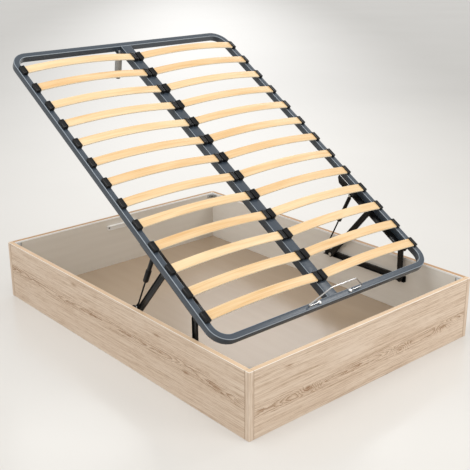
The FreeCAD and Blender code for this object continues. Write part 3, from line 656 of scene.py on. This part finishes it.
GREY_PLASTIC = MouldedPlastic("moulded_glide", "grey_plastic", "#5a5b5c", "#4c4d4e")
ZINC = PlatedSteel("zinc_plate", "zinc_steel")
CHROME = PlatedSteel("chrome_plate", "chrome_wire", "#e6e7e7", "#d9dadb", 0.08, 0.125, 40 * MM)
STAGE_FLOOR = StudioFloor("studio_screed", "")


def clean(bm: Mesh) -> None:
    """Close open ends, merge doubles and turn all faces outward.

    Args:
        bm: Mesh to clean.
    """
    bmesh.ops.remove_doubles(bm, verts=bm.verts, dist=MERGE_DISTANCE)
    open_edges = [edge for edge in bm.edges if edge.is_boundary]
    if open_edges:
        bmesh.ops.holes_fill(bm, edges=open_edges)
    bmesh.ops.recalc_face_normals(bm, faces=bm.faces)


def make_piece(bm: Mesh, name: str, body: Body, finish: Finish, *nodes: str) -> None:
    """Turn a finished bmesh into a piece that rides on a body.

    Args:
        bm: Mesh in bed axes; it is freed.
        name: Name of the piece.
        body: Body that carries it.
        finish: Its surface.
        nodes: CAD nodes that it stands for.
    """
    mesh = bpy.data.meshes.new(name)
    bm.to_mesh(mesh)
    bm.free()
    mesh.polygons.foreach_set("use_smooth", [True] * len(mesh.polygons))
    mesh.set_sharp_from_angle(angle=SMOOTH_ANGLE)
    mesh.materials.append(finish.material())
    piece = bpy.data.objects.new(name, mesh)
    bpy.context.scene.collection.objects.link(piece)
    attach(piece, body.value)
    if nodes:
        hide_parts(*nodes)
    log.info("made %s: %d faces on %s", name, len(mesh.polygons), body.value)


def make_frame_piece(bm: Mesh, name: str, finish: Finish, *nodes: str) -> None:
    """Carry a mesh from frame axes to the raised frame and make it a piece there."""
    bm.transform(POSE.matrix())
    make_piece(bm, name, Body.FRAME, finish, *nodes)


def round_off(bm: Mesh, geometry: list, width: float, segments: int, affect: str = "EDGES") -> None:
    """Bevel edges or corners to an even rounding."""
    bmesh.ops.bevel(bm, geom=geometry, offset=width, offset_type="OFFSET", affect=affect,
                    segments=segments, profile=0.5, material=-1, clamp_overlap=True)


def rounded_section(bm: Mesh, width: float, height: float, radius: float,
                    segments: int) -> list[bmesh.types.BMEdge]:
    """Rounded rectangle in the YZ plane, round the origin, with its corners marked for a painted highlight.

    Args:
        bm: Mesh that gets the section.
        width: Size along Y.
        height: Size along Z.
        radius: Corner radius.
        segments: Edges in each corner.

    Returns:
        The section's edges.
    """
    corners = bmesh.ops.create_grid(bm, x_segments=1, y_segments=1, size=0.5)["verts"]
    bmesh.ops.scale(bm, vec=(height, width, 1), verts=corners)
    bmesh.ops.rotate(bm, matrix=Matrix.Rotation(RIGHT_ANGLE, 3, "Y"), verts=corners)
    sheet = corners[0].link_faces[0]
    round_off(bm, list(sheet.verts), radius, segments, "VERTICES")
    sheet = [face for face in bm.faces if len(face.verts) >= 4 * segments][-1]
    mark = bm.verts.layers.float.get(HIGHLIGHT_MARK) or bm.verts.layers.float.new(HIGHLIGHT_MARK)
    for vert in sheet.verts:
        inner = Vector((abs(vert.co.y) - width / 2 + radius, abs(vert.co.z) - height / 2 + radius))
        vert[mark] = max(0.0, 4 * inner.x * inner.y / radius ** 2 - 1) if min(inner) > 0 else 0.0
    edges = list(sheet.edges)
    bmesh.ops.delete(bm, geom=[sheet], context="FACES_ONLY")
    return edges


class Sweep:
    """Carries a section along straight runs and bends."""

    def __init__(self, bm: Mesh, edges: list[bmesh.types.BMEdge], heading: Vector) -> None:
        """Start at the section's middle.

        Args:
            bm: Mesh that holds the section.
            edges: Edges of the section.
            heading: Direction of the first run.
        """
        self.bm = bm
        self.edges = edges
        self.heading = heading.normalized()
        points = {vert for edge in edges for vert in edge.verts}
        self.place = sum((vert.co for vert in points), Vector()) / len(points)

    def run(self, length: float) -> None:
        """Go straight on.

        Args:
            length: Length of the run.
        """
        made = bmesh.ops.extrude_edge_only(self.bm, edges=self.edges)["geom"]
        points = {item for item in made if isinstance(item, bmesh.types.BMVert)}
        bmesh.ops.translate(self.bm, vec=self.heading * length, verts=list(points))
        self.edges = [item for item in made if isinstance(item, bmesh.types.BMEdge)
                      and all(vert in points for vert in item.verts)]
        self.place = self.place + self.heading * length

    def bend(self, angle: float, radius: float, axis: Vector, steps: int) -> None:
        """Turn about an axis through a centre one radius to the left of the heading.

        Args:
            angle: Angle of the turn.
            radius: Distance of the section's middle from the centre.
            axis: Direction of the axis.
            steps: Faces along the bend.
        """
        centre = self.place + axis.cross(self.heading) * radius
        ring = self.edges + list({vert for edge in self.edges for vert in edge.verts})
        made = bmesh.ops.spin(self.bm, geom=ring, cent=centre, axis=axis, angle=angle, steps=steps,
                              use_duplicate=False)["geom_last"]
        self.edges = [item for item in made if isinstance(item, bmesh.types.BMEdge)]
        turn = Matrix.Rotation(angle, 3, axis)
        self.place = centre + turn @ (self.place - centre)
        self.heading = turn @ self.heading


def spun(bm: Mesh, profile: list[tuple[float, float]], place: Vector, axis: Vector, steps: int) -> None:
    """Turn a profile round an axis.

    Args:
        bm: Mesh that gets the shape.
        profile: Radii and heights, from the middle of one end to the middle of the other.
        place: Foot of the shape.
        axis: Direction that the heights run in.
        steps: Faces round the shape.
    """
    before = set(bm.verts)
    points = [bm.verts.new((radius, 0, height)) for radius, height in profile]
    edges = [bm.edges.new(pair) for pair in zip(points, points[1:])]
    bmesh.ops.spin(bm, geom=points + edges, cent=(0, 0, 0), axis=UP, angle=math.tau, steps=steps,
                   use_merge=True)
    fresh = [vert for vert in bm.verts if vert not in before]
    bmesh.ops.remove_doubles(bm, verts=fresh, dist=MERGE_DISTANCE)
    fresh = [vert for vert in bm.verts if vert not in before]
    turn = axis.to_track_quat("Z", "Y").to_matrix().to_4x4()
    bmesh.ops.transform(bm, matrix=Matrix.Translation(place) @ turn, verts=fresh)
    bmesh.ops.recalc_face_normals(bm, faces=list({face for vert in fresh for face in vert.link_faces}))


@dataclass(frozen=True)
class Fastener:
    """Round-headed screw or hexagon bolt with a washer."""

    head_radius: float = 4.5 * MM
    head_height: float = 2.6 * MM
    socket_radius: float = 1.8 * MM
    socket_depth: float = 1.4 * MM

    def screw(self, bm: Mesh, place: Vector, axis: Vector) -> None:
        """Pan head with a driver socket, standing on a surface.

        Args:
            bm: Mesh that gets the shape.
            place: Foot of the head.
            axis: Direction that the head stands in.
        """
        radius, height = self.head_radius, self.head_height
        spun(bm, [
            (0, 0), (radius, 0), (radius, 0.3 * height), (0.86 * radius, 0.72 * height),
            (0.55 * radius, 0.96 * height), (self.socket_radius, height),
            (self.socket_radius * 0.8, height - self.socket_depth), (0, height - self.socket_depth),
        ], place, axis, 16)

    def bolt(self, bm: Mesh, place: Vector, axis: Vector) -> None:
        """Washer with a chamfered hexagon head on it.

        Args:
            bm: Mesh that gets the shape.
            place: Foot of the head.
            axis: Direction that the head stands in.
        """
        radius, height = self.head_radius, self.head_height
        spun(bm, [
            (0, 0), (1.55 * radius, 0), (1.6 * radius, 0.2 * height), (1.5 * radius, 0.35 * height),
            (0, 0.35 * height),
        ], place, axis, 20)
        spun(bm, [
            (0, 0.35 * height), (radius, 0.35 * height), (radius, 1.5 * height),
            (0.85 * radius, 1.7 * height), (0, 1.7 * height),
        ], place, axis, 6)


def soften(body: Body, finish: Finish, width: float, *nodes: str) -> None:
    """Put a copy with rounded edges in the place of each CAD node.

    Args:
        body: Body that carries the nodes.
        finish: Surface of the copies.
        width: Width of the rounding.
        nodes: Names of the nodes.
    """
    for node in nodes:
        bm = bmesh.new()
        bm.from_mesh(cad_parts[node].data)
        bmesh.ops.remove_doubles(bm, verts=bm.verts, dist=CAD_MERGE_DISTANCE)
        bmesh.ops.dissolve_limit(bm, angle_limit=FLAT_ANGLE, verts=bm.verts, edges=bm.edges)
        sharp = [edge for edge in bm.edges if edge.is_manifold and edge.calc_face_angle(0) > SHARP_ANGLE]
        round_off(bm, sharp, width, 2)
        make_piece(bm, "soft_" + node, body, finish, node)


def paint(finish: Finish, *nodes: str) -> None:
    """Give CAD nodes that stay in view a finish.

    Args:
        finish: Their surface.
        nodes: Names of the nodes.
    """
    for node in nodes:
        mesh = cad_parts[node].data
        mesh.materials.clear()
        mesh.materials.append(finish.material())
        log.info("painted %s with %s", node, finish.name)


@dataclass
class Chest:
    """Oak-faced chest with its braces, rest ledge and screws."""

    wall_x: float = 675 * MM
    wall_y: float = 925 * MM
    brace_leg: float = 40 * MM
    brace_screw_height: float = 279 * MM
    brace_sheet: float = 2 * MM
    brace_screw_shares: tuple[float, ...] = (0.45, 0.8)
    brace_rounding: float = 0.6 * MM
    ledge_screw_x: float = 88 * MM
    ledge_screw_z: float = 242.5 * MM
    ledge_sheet: float = 2.5 * MM
    ledge_rounding: float = 0.7 * MM
    screw: Fastener = Fastener()

    def build(self) -> None:
        """Dress the boards and make the metal pieces."""
        paint(SIDE_OAK, "side_panel_left")
        paint(FAR_SIDE_OAK_PAINTED_SHADE_AND_LIGHT, "side_panel_right")
        paint(END_OAK, "head_panel")
        paint(FAR_END_OAK_PAINTED_SHADE, "foot_panel")
        for end in ("head", "foot"):
            for _, side in SIDES:
                paint(POST_OAK, "corner_post_" + end + "_" + side)
                soften(Body.BOX, SILVER, self.brace_rounding, "corner_brace_" + end + "_" + side)
        paint(FLOOR_BOARD, "floor_board")
        soften(Body.BOX, ZINC_LACQUER, self.ledge_rounding, "rest_ledge")
        self.screws()

    def screws(self) -> None:
        """Screws of the braces and the ledge."""
        bm = bmesh.new()
        up = self.brace_screw_height
        face_x, face_y = self.wall_x - self.brace_sheet, self.wall_y - self.brace_sheet
        for x in (-1, 1):
            for y in (-1, 1):
                for share in self.brace_screw_shares:
                    back = self.brace_leg * share
                    self.screw.screw(
                        bm, Vector((x * face_x, y * (self.wall_y - back), up)), Vector((-x, 0, 0)))
                    self.screw.screw(
                        bm, Vector((x * (self.wall_x - back), y * face_y, up)), Vector((0, -y, 0)))
        make_piece(bm, "chest_screws", Body.BOX, ZINC)
        bm = bmesh.new()
        for x in (-1, 1):
            place = Vector((x * self.ledge_screw_x, self.wall_y - self.ledge_sheet, self.ledge_screw_z))
            self.screw.screw(bm, place, Vector((0, -1, 0)))
        make_piece(bm, "ledge_screws", Body.BOX, BLACK_STEEL)


@dataclass
class SlatFrame:
    """Perimeter tube, centre beam, slats and caps, in frame axes."""

    half_width: float = 670 * MM
    length: float = 1840 * MM
    tube_width: float = 30 * MM
    tube_height: float = 35 * MM
    tube_radius: float = 4 * MM
    bend_radius: float = 90 * MM
    bend_steps: int = 14
    beam_width: float = 60 * MM
    beam_height: float = 40 * MM
    beam_radius: float = 3 * MM
    beam_drop: float = 2 * MM
    rows: int = 13
    end_margin: float = 134 * MM
    slat_width: float = 47 * MM
    slat_thickness: float = 8 * MM
    slat_rounding: float = 2.6 * MM
    slat_rise: float = 22 * MM
    slat_seat: float = 3 * MM
    slat_inner: float = 10 * MM
    slat_outer: float = 654 * MM
    slat_steps: int = 18
    cap_wall: float = 2.5 * MM
    cap_length: float = 24 * MM
    cap_roof: float = 4 * MM
    cap_inset: float = 6 * MM
    cap_rounding: float = 1.6 * MM
    cap_face_area: float = 400 * MM * MM
    roof_frame: float = 4.2 * MM
    roof_step: float = 0.7 * MM
    roof_depth: float = 1.3 * MM
    mouth_rim: float = 1.4 * MM
    mouth_taper: float = 0.4 * MM
    mouth_depth: float = 9 * MM
    centre_cap_gap: float = 7 * MM

    def build(self) -> None:
        """Make every piece of the frame."""
        self.perimeter()
        self.beam()
        self.slats()
        self.caps()
        paint(SLATE, "leg_bracket")

    def rows_along(self) -> list[float]:
        """Middles of the slats along the frame."""
        pitch = (self.length - 2 * self.end_margin) / (self.rows - 1)
        return [self.end_margin + row * pitch for row in range(self.rows)]

    def perimeter(self) -> None:
        """One continuous bent tube."""
        bm = bmesh.new()
        edges = rounded_section(bm, self.tube_width, self.tube_height, self.tube_radius, 5)
        straight = self.half_width - self.bend_radius
        start = Vector((-straight, self.tube_width / 2, -self.tube_height / 2))
        bmesh.ops.translate(bm, vec=start, verts=bm.verts)
        sweep = Sweep(bm, edges, Vector((1, 0, 0)))
        for length in (2 * straight, self.length - 2 * self.bend_radius) * 2:
            sweep.run(length)
            sweep.bend(RIGHT_ANGLE, self.bend_radius - self.tube_width / 2, UP, self.bend_steps)
        clean(bm)
        make_frame_piece(bm, "perimeter_tube", SLATE, "side_tube_left", "side_tube_right", "head_tube",
                         "foot_tube", "corner_bends")

    def beam(self) -> None:
        """Flat centre tube between the ends."""
        bm = bmesh.new()
        edges = rounded_section(bm, self.beam_width, self.beam_height, self.beam_radius, 4)
        bmesh.ops.rotate(bm, matrix=Matrix.Rotation(RIGHT_ANGLE, 3, "Z"), verts=bm.verts)
        start = Vector((0, self.tube_width, -self.beam_drop - self.beam_height / 2))
        bmesh.ops.translate(bm, vec=start, verts=bm.verts)
        Sweep(bm, edges, Vector((0, 1, 0))).run(self.length - 2 * self.tube_width)
        clean(bm)
        make_frame_piece(bm, "flat_centre_beam", SLATE, "centre_beam")

    def slats(self) -> None:
        """Bowed slats with rounded edges, one piece for each side."""
        half = (self.slat_outer - self.slat_inner) / 2
        radius = (half ** 2 + self.slat_rise ** 2) / (2 * self.slat_rise)
        angle = math.asin(half / radius)
        for side, name in SIDES:
            bm = bmesh.new()
            for along in self.rows_along():
                centre = Vector((
                    side * (self.slat_inner + half), along, self.slat_seat + self.slat_rise - radius))
                before = set(bm.verts)
                edges = rounded_section(bm, self.slat_width, self.slat_thickness, self.slat_rounding, 3)
                fresh = [vert for vert in bm.verts if vert not in before]
                bmesh.ops.translate(bm, vec=centre + UP * (radius + self.slat_thickness / 2), verts=fresh)
                bmesh.ops.rotate(bm, cent=centre, matrix=Matrix.Rotation(-angle, 3, "Y"), verts=fresh)
                bmesh.ops.spin(bm, geom=edges + fresh, cent=centre, axis=(0, 1, 0), angle=2 * angle,
                               steps=self.slat_steps, use_duplicate=False)
            clean(bm)
            make_frame_piece(bm, "bowed_slats_" + name, BIRCH, "slats_" + name)

    def cap(self, bm: Mesh, outline: list[tuple[float, float]], middle: float, mouth: int) -> None:
        """One slat cap: a rounded block with a framed roof and an open mouth.

        Args:
            bm: Mesh that gets the cap.
            outline: Places across and above the frame, in order.
            middle: Place of the cap's middle along the frame.
            mouth: Side, -1 or 1 across the frame, that the slat goes into.
        """
        width = self.slat_width + 2 * self.cap_wall
        before = set(bm.faces)
        points = [bm.verts.new((across, middle - width / 2, up)) for across, up in outline]
        made = bmesh.ops.extrude_face_region(bm, geom=[bm.faces.new(points)])["geom"]
        bmesh.ops.translate(bm, vec=(0, width, 0),
                            verts=[item for item in made if isinstance(item, bmesh.types.BMVert)])
        fresh = [face for face in bm.faces if face not in before]
        bmesh.ops.recalc_face_normals(bm, faces=fresh)
        round_off(bm, list({edge for face in fresh for edge in face.edges}), self.cap_rounding, 2)
        fresh = [face for face in bm.faces if face not in before and face.calc_area() > self.cap_face_area]
        for facing, steps in (
                (UP, ((self.roof_frame, 0.0), (self.roof_step, -self.roof_depth))),
                (Vector((mouth, 0, 0)), ((self.mouth_rim, 0.0), (self.mouth_taper, -self.mouth_depth)))):
            faces = [face for face in fresh if face.normal.dot(facing) > FACING]
            for thickness, depth in steps:
                bmesh.ops.inset_individual(bm, faces=faces, thickness=thickness, depth=depth,
                                           use_even_offset=True)

    def caps(self) -> None:
        """Outer caps on the side tubes and pairs of caps on the beam."""
        slope = 4 * self.slat_rise / (self.slat_outer - self.slat_inner)
        low = self.slat_seat + self.slat_thickness + self.cap_roof
        end = self.half_width - self.cap_inset
        mouth = end - self.cap_length
        high = low + slope * self.cap_length
        for side, name in SIDES:
            bm = bmesh.new()
            outline = [(side * mouth, 0), (side * end, 0), (side * end, low), (side * mouth, high)]
            for along in self.rows_along():
                self.cap(bm, outline, along, -side)
            make_frame_piece(bm, "moulded_caps_" + name, BLACK_PLASTIC, "outer_caps_" + name)
        bm = bmesh.new()
        reach = self.beam_width / 2
        top = low + slope * reach
        base = -self.beam_drop
        for along in self.rows_along():
            for side, _ in SIDES:
                inner = side * self.centre_cap_gap / 2
                outline = [(inner, base), (side * reach, base), (side * reach, top), (inner, low)]
                self.cap(bm, outline, along, side)
        make_frame_piece(bm, "moulded_centre_caps", BLACK_PLASTIC, "centre_caps")


@dataclass
class MattressRetainer:
    """Chrome wire loop on the low end tube, in frame axes."""

    along: float = 15 * MM
    wire_radius: float = 3 * MM
    wire_lift: float = 0.6 * MM
    half_base: float = 180 * MM
    half_top: float = 78 * MM
    height: float = 95 * MM
    foot_radius: float = 8 * MM
    top_radius: float = 14 * MM
    fixing_x: float = 98 * MM
    fixing_radius: float = 10 * MM
    fixing_height: float = 9 * MM
    socket_depth: float = 6 * MM

    def build(self) -> None:
        """Make the wire and its fixings."""
        self.wire()
        self.fixings()

    def wire(self) -> None:
        """Wire from one fixing out, up, across and back."""
        bm = bmesh.new()
        low = self.wire_lift + self.wire_radius
        start = self.fixing_x + self.fixing_radius - self.socket_depth
        ring = bmesh.ops.create_circle(bm, cap_ends=False, segments=14, radius=self.wire_radius)["verts"]
        edges = list({edge for vert in ring for edge in vert.link_edges})
        bmesh.ops.rotate(bm, matrix=Matrix.Rotation(RIGHT_ANGLE, 3, "Y"), verts=ring)
        bmesh.ops.translate(bm, vec=(start, self.along, low), verts=ring)
        sweep = Sweep(bm, edges, Vector((1, 0, 0)))
        rise = math.atan2(self.height - low, self.half_base - self.half_top)
        turn = math.pi - rise
        foot_cut = self.foot_radius * math.tan(turn / 2)
        top_cut = self.top_radius * math.tan(rise / 2)
        stub = self.half_base - start - foot_cut
        side = math.hypot(self.half_base - self.half_top, self.height - low) - foot_cut - top_cut
        across = 2 * (self.half_top - top_cut)
        foot = (turn, self.foot_radius, Vector((0, -1, 0)), 14)
        shoulder = (rise, self.top_radius, Vector((0, -1, 0)), 8)
        sweep.run(stub)
        for bend, length in ((foot, side), (shoulder, across), (shoulder, side), (foot, stub)):
            sweep.bend(*bend)
            sweep.run(length)
        clean(bm)
        make_frame_piece(bm, "chrome_wire_loop", CHROME, "mattress_retainer")

    def fixings(self) -> None:
        """Domed fixings that hold the wire's ends."""
        bm = bmesh.new()
        radius, height = self.fixing_radius, self.fixing_height
        for side, _ in SIDES:
            spun(bm, [
                (0, 0), (radius, 0), (radius, 0.45 * height), (0.95 * radius, 0.66 * height),
                (0.8 * radius, 0.86 * height), (0.55 * radius, 0.97 * height), (0.3 * radius, height),
                (0, height),
            ], Vector((side * self.fixing_x, self.along, 0)), UP, 24)
        make_frame_piece(bm, "domed_wire_fixings", CHROME, "retainer_fixings")


@dataclass
class LiftLinkage:
    """Rails, arms and pivots of the lift, both sides."""

    rail_web_x: float = 672.5 * MM
    rail_height: float = 190 * MM
    rail_screw_y: tuple[float, ...] = (-520 * MM, -340 * MM, -200 * MM)
    flange_top: float = -35 * MM
    bolt_x: float = 628 * MM
    bolt_places: tuple[float, ...] = (160 * MM, 225 * MM)
    end_bolt_x: float = 613 * MM
    end_bolt_place: float = 576 * MM
    pressed_rounding: float = 0.8 * MM
    pin_rounding: float = 0.7 * MM
    screw: Fastener = Fastener(5.5 * MM, 3 * MM, 2.2 * MM, 1.6 * MM)
    bolt: Fastener = Fastener(6.5 * MM, 3.6 * MM)
    end_bolt: Fastener = Fastener(7 * MM, 9 * MM)

    def build(self) -> None:
        """Round the pressed parts and pins, and add the fasteners."""
        for _, side in SIDES:
            for body, *nodes in (
                    (Body.BOX, "base_rail_", "strut_anchor_"), (Body.LONG_ARMS, "long_arm_"),
                    (Body.SHORT_ARMS, "short_arm_"), (Body.FRAME, "upper_rail_")):
                soften(body, BLACK_STEEL, self.pressed_rounding, *(node + side for node in nodes))
        for body, finish, *nodes in (
                (Body.BOX, ZINC, "long_arm_base_bolts", "strut_anchor_studs"),
                (Body.BOX, BLACK_STEEL, "short_arm_base_studs"),
                (Body.FRAME, BLACK_STEEL, "arm_pivot_bolts"),
                (Body.FRAME, ZINC, "strut_top_bolts"),
                (Body.SHORT_ARMS, BLACK_STEEL, "short_arm_rivets")):
            soften(body, finish, self.pin_rounding, *nodes)
        self.fasteners()

    def fasteners(self) -> None:
        """Wood screws in the base rails and bolts in the upper rails."""
        bm = bmesh.new()
        for side, _ in SIDES:
            for along in self.rail_screw_y:
                self.screw.screw(
                    bm, Vector((side * self.rail_web_x, along, self.rail_height)), Vector((-side, 0, 0)))
        make_piece(bm, "base_rail_screws", Body.BOX, BLACK_STEEL)
        for name, finish, bolt, across, places in (
                ("upper_rail_bolts", BLACK_STEEL, self.bolt, self.bolt_x, self.bolt_places),
                ("upper_rail_end_bolts", ZINC, self.end_bolt, self.end_bolt_x, (self.end_bolt_place,))):
            bm = bmesh.new()
            for side, _ in SIDES:
                for along in places:
                    bolt.bolt(bm, Vector((side * across, along, self.flange_top)), UP)
            make_frame_piece(bm, name, finish)


@dataclass
class GasSprings:
    """Cylinders, sleeves and rods of the two gas springs."""

    tube_rounding: float = 0.7 * MM
    sleeve_rounding: float = 1.0 * MM
    rod_rounding: float = 0.4 * MM

    def build(self) -> None:
        """Round the turned parts."""
        for _, side in SIDES:
            soften(Body.STRUT_TUBES, BLACK_STEEL, self.tube_rounding, "strut_cylinder_" + side)
            soften(Body.STRUT_TUBES, BLACK_PLASTIC, self.sleeve_rounding, "strut_sleeve_" + side)
            soften(Body.STRUT_RODS, BLACK_STEEL, self.rod_rounding, "strut_rod_" + side)
        soften(Body.STRUT_RODS, ZINC, self.tube_rounding, "rod_eye_rivets")


@dataclass
class HangingLeg:
    """Round leg under the high end."""

    post_rounding: float = 1.2 * MM
    small_rounding: float = 0.6 * MM

    def build(self) -> None:
        """Round the leg, its glide and its pin."""
        soften(Body.LEG, SILVER, self.post_rounding, "leg_post")
        soften(Body.LEG, GREY_PLASTIC, self.small_rounding, "leg_foot")
        soften(Body.FRAME, BLACK_STEEL, self.small_rounding, "leg_pin")


@dataclass(frozen=True)
class Lamp:
    """Oblong soft lamp that faces a point."""

    name: str
    place: Triple
    target: Triple
    size: tuple[float, float]
    watts: float

    def hang(self) -> None:
        """Put the lamp in the scene."""
        data = bpy.data.lights.new(self.name, "AREA")
        data.shape = "RECTANGLE"
        data.size, data.size_y = self.size
        data.energy = self.watts
        lamp = bpy.data.objects.new(self.name, data)
        lamp.location = self.place
        lamp.rotation_mode = "QUATERNION"
        lamp.rotation_quaternion = (Vector(self.target) - Vector(self.place)).to_track_quat("-Z", "Y")
        bpy.context.scene.collection.objects.link(lamp)


@dataclass
class Studio:
    """Floor, light and camera."""

    floor_size: float = 160.0
    floor_gap: float = 0.5 * MM
    camera_place: Triple = (-2.6725, -3.1502, 1.9059)
    azimuth: float = math.radians(-40.91)
    elevation: float = math.radians(19.70)
    roll: float = math.radians(-0.29)
    lens: float = 68.1
    sensor_width: float = 36.0
    world_colour: str = "#f5f4f2"
    world_strength: float = 0.78
    lamps: tuple[Lamp, ...] = (
        Lamp("overhead_softbox", (-0.9, -0.3, 4.4), (0, 0, 0.4), (1.8, 1.8), 44.0),
        Lamp("key_softbox", (2.7, -1.3, 3.4), (0, 0, 0.4), (0.7, 0.7), 12.0),
        Lamp("front_softbox", (1.6, -5.0, 2.6), (0, 0, 0.3), (2.4, 2.4), 72.0),
        Lamp("left_softbox", (-5.2, 0.2, 2.6), (0, 0, 0.3), (2.4, 2.4), 38.0),
        Lamp("rear_softbox", (3.7, 3.2, 2.9), (0, 0, 0.2), (2.4, 1.2), 22.0),
        Lamp("rear_left_window", (1.1, 3.5, 2.9), (-1.2, -0.5, 0), (1.3, 0.8), 5.0),
        Lamp("rear_right_window", (3.5, 1.1, 2.9), (-0.2, -1.5, 0), (1.3, 0.8), 4.0),
    )

    def build(self) -> None:
        """Make the floor, the world, the lamps and the camera."""
        self.floor()
        self.world()
        for lamp in self.lamps:
            lamp.hang()
        self.camera()

    def floor(self) -> None:
        """Pale floor, just under the chest."""
        bm = bmesh.new()
        bmesh.ops.create_grid(bm, x_segments=1, y_segments=1, size=self.floor_size / 2)
        bmesh.ops.translate(bm, vec=UP * -self.floor_gap, verts=bm.verts)
        mesh = bpy.data.meshes.new("studio_floor")
        bm.to_mesh(mesh)
        bm.free()
        mesh.materials.append(STAGE_FLOOR.material())
        floor = bpy.data.objects.new("studio_floor", mesh)
        bpy.context.scene.collection.objects.link(floor)

    def world(self) -> None:
        """Even pale surroundings."""
        world = bpy.data.worlds.new("studio")
        world.use_nodes = True
        world.node_tree.nodes.clear()
        add = partial(add_node, world.node_tree)
        glow = add("Background", {"Color": self.world_colour, "Strength": self.world_strength})
        add("OutputWorld", {"Surface": glow})
        bpy.context.scene.world = world
        bpy.context.scene.view_settings.view_transform = "Standard"

    def camera(self) -> None:
        """Camera at the photo's angle."""
        turn = Matrix.Rotation(self.azimuth, 4, "Z") @ Matrix.Rotation(RIGHT_ANGLE - self.elevation, 4, "X")
        roll = Matrix.Rotation(self.roll, 4, "Z")
        data = bpy.data.cameras.new("photo_camera")
        data.lens = self.lens
        data.sensor_width = self.sensor_width
        camera = bpy.data.objects.new("photo_camera", data)
        camera.matrix_world = Matrix.Translation(self.camera_place) @ turn @ roll
        bpy.context.scene.collection.objects.link(camera)
        bpy.context.scene.camera = camera


def main() -> None:
    """Build the bed base piece by piece, then the studio round it."""
    logging.basicConfig(level=logging.INFO, format="%(message)s")
    for assembly in (Chest, SlatFrame, MattressRetainer, LiftLinkage, GasSprings, HangingLeg, Studio):
        log.info("building %s", assembly.__name__)
        assembly().build()


if __name__ == "__main__":
    main()
